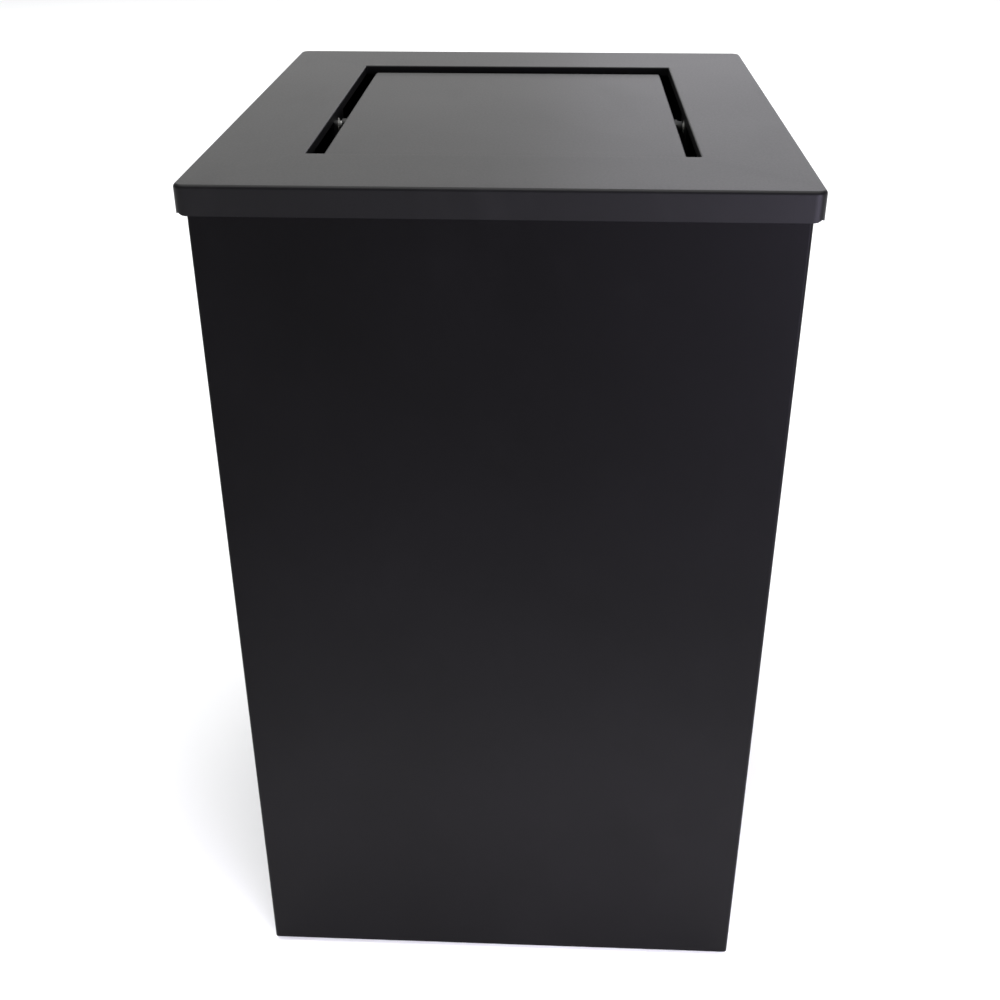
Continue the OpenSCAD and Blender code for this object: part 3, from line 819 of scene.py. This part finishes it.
@dataclass(frozen=True)
class Tray:
    """An upside-down tray folded from sheet: its outer skin, from the lower edge of its sides up and over."""

    low: np.ndarray
    high: np.ndarray
    thickness: float
    corner: float
    bend: float
    low_corner: float = 0.0
    side_rows: int = 6
    side_steps: int = 30
    middle: float = 1.0 * MM

    def edge_rows(self) -> LoopStack:
        """Rows up the sides and over the bend.

        Up the sides the rows are evenly spaced. Over the bend the inset is r (1 - cos q) and the height is
        r sin q, for q from 0 to 90 degrees.

        Returns:
            The rows.
        """
        half = (self.high - self.low) / 2
        inset, rise = quarter_arc(self.bend, 6)
        bend_start = self.high[2] - self.bend
        sides = np.linspace(self.low[2], bend_start, self.side_rows + 1)[:-1]
        inset = np.concatenate([0 * sides, inset])
        return LoopStack(
            half_x=half[0] - inset,
            half_y=half[1] - inset,
            radius=np.maximum(self.corner - inset, 0.5 * MM),
            height=np.concatenate([sides, bend_start + rise]),
            centre_x=(self.low[0] + self.high[0]) / 2,
            centre_y=(self.low[1] + self.high[1]) / 2,
            side_steps=self.side_steps,
        )

    def edge_grid(self) -> np.ndarray:
        """Points of the sides and the bend, with the lower end of each upright corner rounded off.

        With u the distance out along the corner's diagonal from the middle of its arc, and c the rounding's
        radius, the lower edge rises by c - sqrt(c^2 - (u - r + c)^2), and the rows above share that rise in
        proportion.

        Returns:
            The (rows, columns, 3) points.
        """
        grid = self.edge_rows().grid()
        if self.low_corner == 0:
            return grid
        centre, half = (self.low + self.high) / 2, (self.high - self.low) / 2
        away = np.abs(grid[..., :2] - centre[:2]) - (half[:2] - self.corner)
        diagonal = away.sum(axis=-1) / math.sqrt(2)
        reach = np.clip(diagonal - self.corner + self.low_corner, 0.0, self.low_corner)
        rise = self.low_corner - np.sqrt(self.low_corner**2 - reach**2)
        top = self.high[2] - self.bend
        share = np.clip((top - grid[..., 2]) / (top - self.low[2]), 0.0, 1.0)
        grid[..., 2] += rise * share
        return grid

    def closed(self, waves: float, seed: int) -> Surface:
        """The whole skin, its top closed and slightly wavy.

        The top's rows shrink evenly to a speck in the middle, and each point sinks by the sheet's waves.

        Args:
            waves: depth of the waviness.
            seed: which sheet this is.

        Returns:
            The surface.
        """
        edge = self.edge_rows()
        share = np.linspace(0.0, 1.0, 16)[1:]
        last_x, last_y, last_r = edge.half_x[-1], edge.half_y[-1], edge.radius[-1]
        top = LoopStack(
            half_x=last_x + (self.middle - last_x) * share,
            half_y=last_y + (self.middle - last_y) * share,
            radius=last_r + (self.middle / 2 - last_r) * share,
            height=np.full(len(share), self.high[2]),
            centre_x=edge.centre_x,
            centre_y=edge.centre_y,
            side_steps=self.side_steps,
        ).grid()
        u = (top[..., 0] - self.low[0]) / (self.high[0] - self.low[0])
        v = (top[..., 1] - self.low[1]) / (self.high[1] - self.low[1])
        top[..., 2] -= np.abs(sheet_waves(u, v, waves, seed))
        return surface_from_grid(np.concatenate([self.edge_grid(), top]), Ends.LAST_CAPPED)


def weld_bead(
    middle: np.ndarray, reach: np.ndarray, radius: float, low: np.ndarray, high: np.ndarray
) -> Surface:
    """A short rippled weld bead from middle - reach to middle + reach.

    The radius along the bead is that of a tube with domed ends times 1 + 0.1 sin(2 pi s / pitch). Points that
    would come out through the welded sheets stay at the faces of the box from low to high.

    Args:
        middle: the bead's middle.
        reach: from the middle to one end.
        radius: the bead's radius.
        low: lowest corner that the bead may reach.
        high: highest corner that it may reach.

    Returns:
        The closed surface.
    """
    step, pitch = 0.35 * MM, 1.7 * MM
    start, end = middle - reach, middle + reach
    length = float(np.linalg.norm(end - start))
    share = np.linspace(0.0, 1.0, max(24, int(length / step)))[:, None]
    path = start + (end - start) * share
    ripple = 1 + 0.1 * np.sin(2 * math.pi * share[:, 0] * length / pitch)
    grid = tube_grid(path, domed_radius(path, radius, radius) * ripple, UPWARDS, 10)
    return surface_from_grid(np.clip(grid, low, high), Ends.CAPPED)


def under(top: float) -> tuple[np.ndarray, np.ndarray]:
    """The corners of a large box under a level sheet.

    Args:
        top: height of the sheet's underside.

    Returns:
        The lowest and the highest corner.
    """
    return np.full(3, -UNLIMITED), np.array([UNLIMITED, UNLIMITED, top])


# ---------- Sub-assemblies ----------


@dataclass
class FoldedBox:
    """The free-standing box: its folded wrap, back panel, floor pan, rim frame, pads, rivets and feet."""

    thickness: float = 1.0 * MM
    bend: float = 2.5 * MM
    flange: float = 18.0 * MM
    pan_thickness: float = 1.2 * MM
    pan_corner: float = 3.0 * MM
    pan_bend: float = 2.0 * MM
    pan_waves: float = 0.3 * MM
    waves: float = 0.28 * MM
    weld: float = 1.3 * MM
    weld_length: float = 24.0 * MM
    foot_recess: float = 6.5 * MM
    foot_recess_depth: float = 7.0 * MM
    foot_bore: float = 2.7 * MM
    foot_taper: float = 2.0 * MM
    foot_ease: float = 1.5 * MM
    foot_groove: float = 0.5 * MM
    body: str = "body"

    def build(self) -> None:
        """Builds and dresses every piece of the box."""
        self.build_wrap()
        self.build_back()
        self.build_pan()
        self.build_rim()
        self.build_feet()
        dress_node("back_rivets", Finish.BODY_COAT)
        for node in ("foot_screws", "foot_washers", "foot_nuts"):
            dress_node(node, Finish.ZINC)

    def build_wrap(self) -> None:
        """The front, both sides and the back flanges, folded from one sheet.

        The plan path runs from the left flange round the front to the right flange, with an arc at each
        fold. It is repeated at even heights, and every point moves along the path's normal by the waviness
        of its own face.
        """
        low, high = box_of("body_wrap")
        x, y = high[0], high[1]
        plan = np.array([[-x + self.flange, y], [-x, y], [-x, -y], [x, -y], [x, y], [x - self.flange, y]])
        path = filleted_path(plan, [self.bend] * 4, 6, 9 * MM)
        tangent = path_directions(path)
        normal = np.stack([tangent[:, 1], -tangent[:, 0]], axis=-1)
        height = np.linspace(low[2], high[2], 61)
        up = (height - low[2]) / (high[2] - low[2])
        along_x, along_y = (path[:, 0] + x) / (2 * x), (path[:, 1] + y) / (2 * y)
        front = (normal[:, 1] < -0.99) * sheet_waves(along_x[None], up[:, None], self.waves, 3)
        left = (normal[:, 0] < -0.99) * sheet_waves(along_y[None], up[:, None], self.waves, 8)
        right = (normal[:, 0] > 0.99) * sheet_waves(along_y[None], up[:, None], self.waves, 5)
        sunk = -np.abs(front + left + right)
        plan_points = path[None] + normal[None] * sunk[..., None]
        z = np.broadcast_to(height[:, None, None], (*sunk.shape, 1))
        grid = np.concatenate([plan_points, z], axis=-1)
        piece = make_piece("box_wrap", surface_from_grid(grid, Ends.OPEN, columns_join=False))
        thicken(piece, self.thickness)
        place_piece(piece, self.body, Finish.BODY_COAT, ["body_wrap"])

    def build_back(self) -> None:
        """The flat back sheet: a grid facing backwards that sinks by the sheet's waves."""
        low, high = box_of("back_panel")
        x = np.linspace(high[0], low[0], 40)[None] + np.zeros((61, 1))
        z = np.linspace(low[2], high[2], 61)[:, None] + 0 * x
        u, v = (x - low[0]) / (high[0] - low[0]), (z - low[2]) / (high[2] - low[2])
        y = high[1] - np.abs(sheet_waves(u, v, self.waves, 12)) * (np.abs(u - 0.5) < 0.44)
        grid = np.stack([x, y, z], axis=-1)
        piece = make_piece("box_back", surface_from_grid(grid, Ends.OPEN, columns_join=False))
        thicken(piece, self.thickness)
        place_piece(piece, self.body, Finish.BODY_COAT, ["back_panel"])

    def build_pan(self) -> None:
        """The floor pan, a shallow upside-down tray."""
        low, high = box_of("floor_pan")
        pan = Tray(low, high, self.pan_thickness, self.pan_corner, self.pan_bend, side_rows=3)
        piece = make_piece("box_floor_pan", pan.closed(self.pan_waves, 21))
        thicken(piece, self.pan_thickness)
        place_piece(piece, self.body, Finish.BODY_COAT, ["floor_pan"])

    def build_rim(self) -> None:
        """The angle-section rim frame with five weld beads under each side, and its four rubber pads."""
        ease_node("rim_frame", "box_rim_frame", 0.35 * MM, self.body, "body_coat", Finish.BODY_COAT)
        low, high = box_of("rim_frame")
        floor = low - UNLIMITED * UPWARDS
        half_x, half_y = np.diag([self.weld_length / 2] * 3)[:2]
        beads = []
        for share in np.linspace(0.12, 0.88, 5):
            middle = low + share * (high - low)
            for x in (low[0], high[0]):
                place = np.array([x, middle[1], low[2]])
                beads.append(weld_bead(place, half_y, self.weld, floor, high))
            for y in (low[1], high[1]):
                place = np.array([middle[0], y, low[2]])
                beads.append(weld_bead(place, half_x, self.weld, floor, high))
        place_piece(make_piece("box_rim_welds", joined(beads)), self.body, Finish.BODY_COAT, [])
        ease_node("rim_pads", "box_rim_pads", 0.5 * MM, self.body, "rubber", Finish.RUBBER)

    def build_feet(self) -> None:
        """Four moulded rubber feet: a turned section with a recess for the screw and two fine grooves.

        The section is a closed line with small arcs at its corners. On its slanting outside, each groove
        sinks it by d exp(-((z - groove) / d)^2), where d is the groove's depth.
        """
        for node in ("foot_front_left", "foot_front_right", "foot_back_left", "foot_back_right"):
            low, high = box_of(node)
            tall, wide = high[2] - low[2], (high[0] - low[0]) / 2
            base = wide - self.foot_taper
            start = [base - 4 * MM, 0]
            corners = np.array(
                [
                    start,
                    [base - self.foot_ease, 0],
                    [base, self.foot_ease],
                    [wide, tall],
                    [self.foot_bore, tall],
                    [self.foot_bore, self.foot_recess_depth],
                    [self.foot_recess, self.foot_recess_depth],
                    [self.foot_recess, 0],
                    start,
                ]
            )
            section = filleted_path(corners, [0.5 * MM] * 7, 3, 0.6 * MM)[:-1]
            outside = np.clip((section[:, 0] - base) / MM, 0.0, 1.0)
            groove = np.exp(-(((section[:, 1] - 0.62 * tall) / self.foot_groove) ** 2))
            groove += np.exp(-(((section[:, 1] - 0.80 * tall) / self.foot_groove) ** 2))
            section[:, 0] -= self.foot_groove * groove * outside
            middle = np.array([(low[0] + high[0]) / 2, (low[1] + high[1]) / 2, low[2]])
            grid = ring_grid(section, middle, UPWARDS, 64)
            piece = make_piece(node.replace("foot", "box_foot"), surface_from_grid(grid, Ends.JOINED))
            place_piece(piece, self.body, Finish.RUBBER, [node])


@dataclass
class Liner:
    """The lift-out galvanised liner with its bead, base and riveted lugs."""

    thickness: float = 0.8 * MM
    corner: float = 22.0 * MM
    bead: float = 3.5 * MM
    base_bend: float = 1.6 * MM
    base_waves: float = 0.6 * MM
    waves: float = 0.5 * MM
    body: str = "liner"

    def build(self) -> None:
        """Builds and dresses every piece of the liner."""
        self.build_shell()
        self.build_base()
        for node in ("handle_lugs_left", "handle_lugs_right"):
            name = node.replace("handle", "liner")
            ease_node(node, name, 0.4 * MM, self.body, "zinc_plate", Finish.ZINC)
        dress_node("lug_rivets", Finish.ZINC)

    def build_base(self) -> None:
        """The bottom sheet, a shallow upside-down tray inside the shell."""
        low, high = box_of("liner_base")
        corner = self.corner - self.thickness
        base = Tray(low, high, self.thickness, corner, self.base_bend, side_rows=3)
        piece = make_piece("liner_bottom", base.closed(self.base_waves, 33))
        thicken(piece, self.thickness)
        place_piece(piece, self.body, Finish.GALVANISED, ["liner_base"])

    def build_shell(self) -> None:
        """The shell, one closed section carried round a rounded rectangle.

        The section goes up the outside of the wall, nearly once round the bead, and down the inside. Its
        distance out from the wall's outer face is added to both half sizes and to the corner radius, and
        the wall's points sink inwards by the sheet's waves, which fade out at the corners.
        """
        low, high = box_of("liner_shell")
        half = (high - low)[:2] / 2 - self.bead + self.thickness / 2
        centre = (low + high) / 2
        bead_z = high[2] - self.bead
        meets = math.acos(self.thickness / 2 / self.bead)
        wall = np.linspace(low[2], bead_z - self.bead * math.sin(meets), 34)
        turn = np.linspace(-meets, meets + math.pi, 25)[1:-1]
        bead_out = self.bead * np.cos(turn) - self.thickness / 2
        out = np.concatenate([0 * wall, bead_out, 0 * wall - self.thickness])
        height = np.concatenate([wall, bead_z + self.bead * np.sin(turn), wall[::-1]])
        grid = LoopStack(
            half_x=half[0] + out,
            half_y=half[1] + out,
            radius=self.corner + out,
            height=height,
            centre_x=centre[0],
            centre_y=centre[1],
            corner_steps=12,
            side_steps=34,
        ).grid()
        away_x, away_y = (grid[..., 0] - centre[0]) / half[0], (grid[..., 1] - centre[1]) / half[1]
        up = np.clip((grid[..., 2] - low[2]) / (bead_z - low[2]), 0.0, 1.0)
        flat_x = np.clip((np.abs(away_x) - 0.97) / 0.02, 0.0, 1.0)
        flat_y = np.clip((np.abs(away_y) - 0.97) / 0.02, 0.0, 1.0)
        side_waves = np.abs(sheet_waves(away_y / 2 + 0.5, up, self.waves, 41))
        end_waves = np.abs(sheet_waves(away_x / 2 + 0.5, up, self.waves, 44))
        grid[..., 0] -= np.sign(away_x) * flat_x * side_waves
        grid[..., 1] -= np.sign(away_y) * flat_y * end_waves
        piece = make_piece("liner_wall", surface_from_grid(grid, Ends.JOINED))
        ease_edges(piece, 0.2 * MM, 60)
        place_piece(piece, self.body, Finish.GALVANISED, ["liner_shell"])


@dataclass
class Handle:
    """One wire handle of the liner, with upset ends and a ribbed grip."""

    side: str
    wire: float = 3.0 * MM
    bend: float = 14.0 * MM
    elbow: float = 3.4 * MM
    leg: float = 55.0 * MM
    head_length: float = 2.0 * MM
    head_rim: float = 1.5 * MM
    ribs: int = 15
    rib_depth: float = 0.55 * MM
    grip_ease: float = 1.2 * MM
    grip_play: float = 0.02 * MM

    def build(self) -> None:
        """Builds the wire and the grip."""
        self.build_wire()
        self.build_grip()

    def build_wire(self) -> None:
        """The wire and its two upset heads.

        A ring of points is carried along a path of straights and arcs in one upright plane. Each head is a
        closed profile turned about the wire's end.
        """
        node = f"handle_wire_{self.side}"
        low, high = box_of(node)
        centre = (low + high) / 2
        grip_low, grip_high = box_of(f"handle_grip_{self.side}")
        reach_z = (grip_low[2] + grip_high[2]) / 2
        top_z = high[2] - self.wire - self.head_rim
        end = (high[1] - low[1]) / 2
        half_path = np.array([[end - MM, top_z], [self.leg, top_z], [self.leg, reach_z]])
        y = np.concatenate([-half_path[:, 0], half_path[::-1, 0]])
        z = np.concatenate([half_path[:, 1], half_path[::-1, 1]])
        corners = np.stack([np.full(6, centre[0]), centre[1] + y, z], axis=-1)
        path = filleted_path(corners, [self.elbow, self.bend, self.bend, self.elbow], 10, 6 * MM)
        wire = tube_grid(path, np.full(len(path), self.wire), np.array([1.0, 0.0, 0.0]), 24)
        parts = [surface_from_grid(wire, Ends.CAPPED)]
        head = np.array([[0.2, 0], [4.1, 0], [4.5, 0.4], [4.5, 1.2], [4.0, 1.8], [2.4, 2.0], [0.2, 2.0]]) * MM
        for direction in (-1.0, 1.0):
            origin = np.array([centre[0], centre[1] + direction * (end - self.head_length), top_z])
            heads = ring_grid(head, origin, np.array([0.0, direction, 0.0]), 32)
            parts.append(surface_from_grid(heads, Ends.JOINED))
        piece = make_piece(f"handle_{self.side}_wire", joined(parts))
        ease_edges(piece, 0.15 * MM, 50)
        place_piece(piece, f"handle_{self.side}", Finish.ZINC, [node])

    def build_grip(self) -> None:
        """The grip: a tube turned about the wire, its outside r - d cos^6(pi n t) along its length t.

        Towards each end the outside also falls by a square law over a short length, which rounds the end.
        """
        node = f"handle_grip_{self.side}"
        low, high = box_of(node)
        length, radius = high[1] - low[1], (high[0] - low[0]) / 2
        share = np.linspace(0.0, 1.0, 150)
        from_end = np.minimum(share, 1 - share) * length
        outside = radius - self.rib_depth * np.cos(math.pi * self.ribs * share) ** 6
        outside -= 1.1 * MM * np.clip(1 - from_end / self.grip_ease, 0, 1) ** 2
        inner = np.full(2, self.wire + self.grip_play)
        along = np.concatenate([share * length, [length, 0.0]])
        section = np.stack([np.concatenate([outside, inner]), along], axis=-1)
        origin = np.array([(low[0] + high[0]) / 2, low[1], (low[2] + high[2]) / 2])
        grid = ring_grid(section, origin, np.array([0.0, 1.0, 0.0]), 40)
        piece = make_piece(f"handle_{self.side}_grip", surface_from_grid(grid, Ends.JOINED))
        place_piece(piece, f"handle_{self.side}", Finish.GRIP, [node])


@dataclass
class Lid:
    """The lift-off lid: folded cover, locating tabs, pivot brackets, bushes and stops."""

    thickness: float = 1.2 * MM
    corner: float = 7.0 * MM
    bend: float = 2.5 * MM
    low_corner: float = 2.0 * MM
    side_frame: float = 69.0 * MM
    front_frame: float = 78.0 * MM
    lip: float = 7.0 * MM
    opening_corner: float = 1.0 * MM
    waves: float = 0.22 * MM
    weld: float = 1.6 * MM
    body: str = "lid"

    def build(self) -> None:
        """Builds and dresses every piece of the lid."""
        self.build_cover()
        coat = (self.body, "lid_coat", Finish.LID_COAT)
        ease_node("lid_locating_tabs", "lid_tabs", 0.35 * MM, *coat)
        for side in ("left", "right"):
            ease_node(f"pivot_bracket_{side}", f"lid_bracket_{side}", 0.5 * MM, *coat)
            self.build_bracket_welds(side)
            nylon = (self.body, "nylon", Finish.NYLON)
            ease_node(f"pivot_bush_{side}", f"lid_bush_{side}", 0.3 * MM, *nylon)
            dress_node(f"stop_pin_{side}", Finish.ZINC)
            rubber = (self.body, "rubber", Finish.RUBBER)
            ease_node(f"stop_sleeve_{side}", f"lid_stop_sleeve_{side}", 0.4 * MM, *rubber)

    def build_cover(self) -> None:
        """The cover, from the skirt's lower edge over the top and down the lip of the opening.

        The skirt and the outer fold are a tray's. Across the top, half sizes, corner radius and middle run
        evenly from the outer fold to the opening, whose edge is a quarter arc. The top sinks by w sin(pi t)
        times three slow swells round the loop, where t runs from the fold to the opening.
        """
        low, high = box_of("lid_cover")
        sides = 36
        tray = Tray(low, high, self.thickness, self.corner, self.bend, self.low_corner, 7, sides)
        fold = tray.edge_rows()
        half_x = high[0] - self.side_frame
        half_y = (high[1] - low[1] - self.side_frame - self.front_frame) / 2
        middle_y = (self.front_frame - self.side_frame) / 2
        edge = self.thickness
        share = np.linspace(0.0, 1.0, 13)[1:]
        inset, rise = quarter_arc(edge, 5)
        drop = np.linspace(0.0, self.lip - edge, 4)[1:]
        out = np.concatenate([edge - rise[1:], 0 * drop])
        down = np.concatenate([inset[1:], edge + drop])
        top_x = fold.half_x[-1] + (half_x + edge - fold.half_x[-1]) * share
        top_y = fold.half_y[-1] + (half_y + edge - fold.half_y[-1]) * share
        top_r = fold.radius[-1] + (self.opening_corner + edge - fold.radius[-1]) * share
        top = LoopStack(
            half_x=np.concatenate([top_x, half_x + out]),
            half_y=np.concatenate([top_y, half_y + out]),
            radius=np.concatenate([top_r, self.opening_corner + out]),
            height=high[2] - np.concatenate([0 * share, down]),
            centre_x=0.0,
            centre_y=np.concatenate([middle_y * share, np.full(len(out), middle_y)]),
            side_steps=sides,
        ).grid()
        across = np.concatenate([share, np.ones(len(out))])[:, None]
        turns = np.linspace(0.0, 1.0, top.shape[1], endpoint=False)[None]
        uneven = 0.55 + 0.45 * np.sin(2 * math.pi * (3 * turns + 0.2))
        top[..., 2] -= self.waves * np.sin(math.pi * np.clip(across, 0, 1)) * uneven
        grid = np.concatenate([tray.edge_grid(), top])
        piece = make_piece("lid_shell", surface_from_grid(grid, Ends.OPEN))
        thicken(piece, self.thickness)
        place_piece(piece, self.body, Finish.LID_COAT, ["lid_cover"])

    def build_bracket_welds(self, side: str) -> None:
        """Two weld beads that hold a bracket's foot to the underside of the lid.

        Args:
            side: left or right.
        """
        low, high = box_of(f"pivot_bracket_{side}")
        setback = 3 * MM
        middle_x = (low[0] + high[0]) / 2
        reach = np.array([(high[0] - low[0]) / 2 - setback, 0.0, 0.0])
        places = [np.array([middle_x, y, high[2]]) for y in (low[1], high[1])]
        beads = [weld_bead(place, reach, self.weld, *under(high[2])) for place in places]
        piece = make_piece(f"lid_bracket_welds_{side}", joined(beads))
        place_piece(piece, self.body, Finish.LID_COAT, [])


@dataclass
class Flap:
    """The balanced swing flap: folded panel, channel, hangers, bar and pivots."""

    thickness: float = 1.2 * MM
    bend: float = 2.5 * MM
    corner: float = 3.0 * MM
    low_corner: float = 4.0 * MM
    waves: float = 0.22 * MM
    weld: float = 1.3 * MM
    weld_length: float = 18.0 * MM
    body: str = "flap"

    def build(self) -> None:
        """Builds and dresses every piece of the flap."""
        self.build_panel()
        coat = (self.body, "flap_coat", Finish.FLAP_COAT)
        zinc = (self.body, "zinc_plate", Finish.ZINC)
        ease_node("flap_channel", "flap_stiffener", 0.35 * MM, *coat)
        for side in ("left", "right"):
            ease_node(f"bar_hanger_{side}", f"flap_hanger_{side}", 0.4 * MM, *coat)
            ease_node(f"pivot_pin_{side}", f"flap_pivot_pin_{side}", 0.35 * MM, *zinc)
        ease_node("balance_bar", "flap_balance_bar", 0.7 * MM, *zinc)
        for node in ("bar_screws", "bar_nuts"):
            dress_node(node, Finish.ZINC)
        # The pivot nuts and spacers take the darkened zinc, which is painted shade for the side gaps.
        for node in ("pivot_nuts", "pivot_spacers"):
            dress_node(node, Finish.DULL_ZINC)
        self.build_welds()

    def build_panel(self) -> None:
        """The folded panel, an upside-down tray."""
        low, high = box_of("flap_panel")
        tray = Tray(low, high, self.thickness, self.corner, self.bend, self.low_corner, 7, 30)
        piece = make_piece("flap_shell", tray.closed(self.waves, 52))
        thicken(piece, self.thickness)
        place_piece(piece, self.body, Finish.FLAP_COAT, ["flap_panel"])

    def build_welds(self) -> None:
        """Stitch welds along both edges of the channel, against the underside of the panel."""
        low, high = box_of("flap_channel")
        reach = np.array([self.weld_length / 2, 0.0, 0.0])
        beads = []
        for y in (low[1], high[1]):
            for share in (0.08, 0.36, 0.64, 0.92):
                place = np.array([low[0] + share * (high[0] - low[0]), y, high[2]])
                beads.append(weld_bead(place, reach, self.weld, *under(high[2])))
        piece = make_piece("flap_welds", joined(beads))
        place_piece(piece, self.body, Finish.FLAP_COAT, [])


# ---------- Stage ----------


@dataclass
class Studio:
    """The floor, the soft lights and the camera."""

    floor_half: float = 30.0
    surround: float = 0.36
    sky: float = 1.5
    camera_at: Triple = (0.0357, -0.9568, 0.8826)
    yaw: float = 2.64
    pitch: float = 28.09
    roll: float = -0.145
    lens: float = 44.77
    shift: float = -0.05

    def build(self) -> None:
        """Builds the whole stage."""
        self.build_floor()
        self.build_world()
        self.add_sun()
        white, warm, cool, violet = (1.0, 1.0, 1.0), (1.0, 0.985, 0.965), (0.97, 0.95, 1.0), (0.78, 0.72, 1.0)
        self.add_light("over", (0.0, 0.9, 3.4), (0.0, 0.9, 0.0), (4.2, 3.6), 62.0, white)
        self.add_light("behind_left", (-1.35, 4.6, 2.7), (-1.35, 0.0, 0.66), (3.0, 3.2), 32.0, warm)
        self.add_light("behind_right", (1.6, 4.6, 2.7), (1.6, 0.0, 0.66), (3.0, 3.2), 57.0, cool)
        self.add_light("right", (0.95, -1.35, 0.40), (0.15, -0.2, 0.35), (0.9, 0.9), 24.0, violet)
        self.add_light("low", (0.25, -0.52, 0.22), (0.25, -0.48, 0.0), (1.1, 0.3), 4.0, (0.95, 0.93, 1.0))
        self.build_camera()
        bpy.context.scene.view_settings.view_transform = "Standard"

    def build_floor(self) -> None:
        """A large pale floor: a grid whose points dip by a hair, so that it isn't perfectly even.

        Its height is -a - b (1 - cos(0.7 x) cos(0.9 y)), with a and b a fraction of a millimetre.
        """
        across = np.linspace(-self.floor_half, self.floor_half, 61)
        x, y = np.meshgrid(across, across)
        z = -0.0002 - 0.0003 * (1 - np.cos(0.7 * x) * np.cos(0.9 * y))
        surface = surface_from_grid(np.stack([x, y, z], axis=-1), Ends.OPEN, columns_join=False)
        floor = make_piece("studio_floor", surface)
        material, graph, place = new_material("studio_floor")
        cloud = graph.spread(graph.noise(place, 1.3, 4.0), 0.3, 0.7, 0.0, 1.0)
        fine = graph.noise(place, 240.0, 2.0)
        finish_material(
            graph,
            {
                "Base Color": graph.blend(cloud, (0.93, 0.93, 0.93), (0.95, 0.95, 0.95)),
                "Roughness": graph.spread(fine, 0.3, 0.7, 0.86, 0.94),
                "Normal": graph.bump(fine, 0.02 * MM),
                "Specular IOR Level": 0.2,
            },
        )
        floor.data.materials.append(material)

    def build_world(self) -> None:
        """An even, dim surround."""
        world = bpy.data.worlds.new("studio")
        bpy.context.scene.world = world
        world.use_nodes = True
        background = world.node_tree.nodes["Background"]
        background.inputs["Color"].default_value = (0.95, 0.97, 1.0, 1.0)
        background.inputs["Strength"].default_value = self.surround

    def add_sun(self) -> None:
        """A very soft light from straight above, which keeps the floor evenly pale as far as it reaches."""
        lamp = bpy.data.lights.new("sky", "SUN")
        lamp.energy = self.sky
        lamp.angle = math.radians(50)
        light = bpy.data.objects.new("sky", lamp)
        bpy.context.scene.collection.objects.link(light)

    def add_light(
        self,
        name: str,
        at: Triple,
        towards: Triple,
        size: tuple[float, float],
        power: float,
        colour: Triple,
    ) -> None:
        """Adds a soft oblong light.

        Args:
            name: the light's name.
            at: where it is.
            towards: the point that it faces.
            size: its width and height.
            power: its power in watts.
            colour: its colour.
        """
        lamp = bpy.data.lights.new(name, "AREA")
        lamp.shape = "RECTANGLE"
        lamp.size, lamp.size_y = size
        lamp.energy = power
        lamp.color = colour
        light = bpy.data.objects.new(name, lamp)
        light.location = at
        light.rotation_euler = (Vector(towards) - Vector(at)).to_track_quat("-Z", "Y").to_euler()
        light.visible_camera = False
        bpy.context.scene.collection.objects.link(light)

    def build_camera(self) -> None:
        """The camera: above and in front of the box, turned by yaw, then tipped by pitch, then rolled."""
        yaw, pitch, roll = math.radians(self.yaw), math.radians(self.pitch), math.radians(self.roll)
        level = Vector((math.cos(yaw), math.sin(yaw), 0.0))
        ahead = Vector((-math.sin(yaw), math.cos(yaw), 0.0))
        forward = math.cos(pitch) * ahead - math.sin(pitch) * Vector((0.0, 0.0, 1.0))
        square = level.cross(forward)
        right = math.cos(roll) * level + math.sin(roll) * square
        up = math.cos(roll) * square - math.sin(roll) * level
        lens = bpy.data.cameras.new("camera")
        lens.lens = self.lens
        lens.sensor_width = 36.0
        lens.shift_y = self.shift
        lens.clip_end = 200.0
        camera = bpy.data.objects.new("camera", lens)
        turn = Matrix((right, up, -forward)).transposed().to_4x4()
        camera.matrix_world = Matrix.Translation(self.camera_at) @ turn
        bpy.context.scene.collection.objects.link(camera)
        bpy.context.scene.camera = camera


def main() -> None:
    """Builds every sub-assembly in order, then the stage."""
    logging.basicConfig(level=logging.INFO, format="%(message)s")
    FoldedBox().build()
    Liner().build()
    Handle("left").build()
    Handle("right").build()
    Lid().build()
    Flap().build()
    Studio().build()


if __name__ == "__main__":
    main()
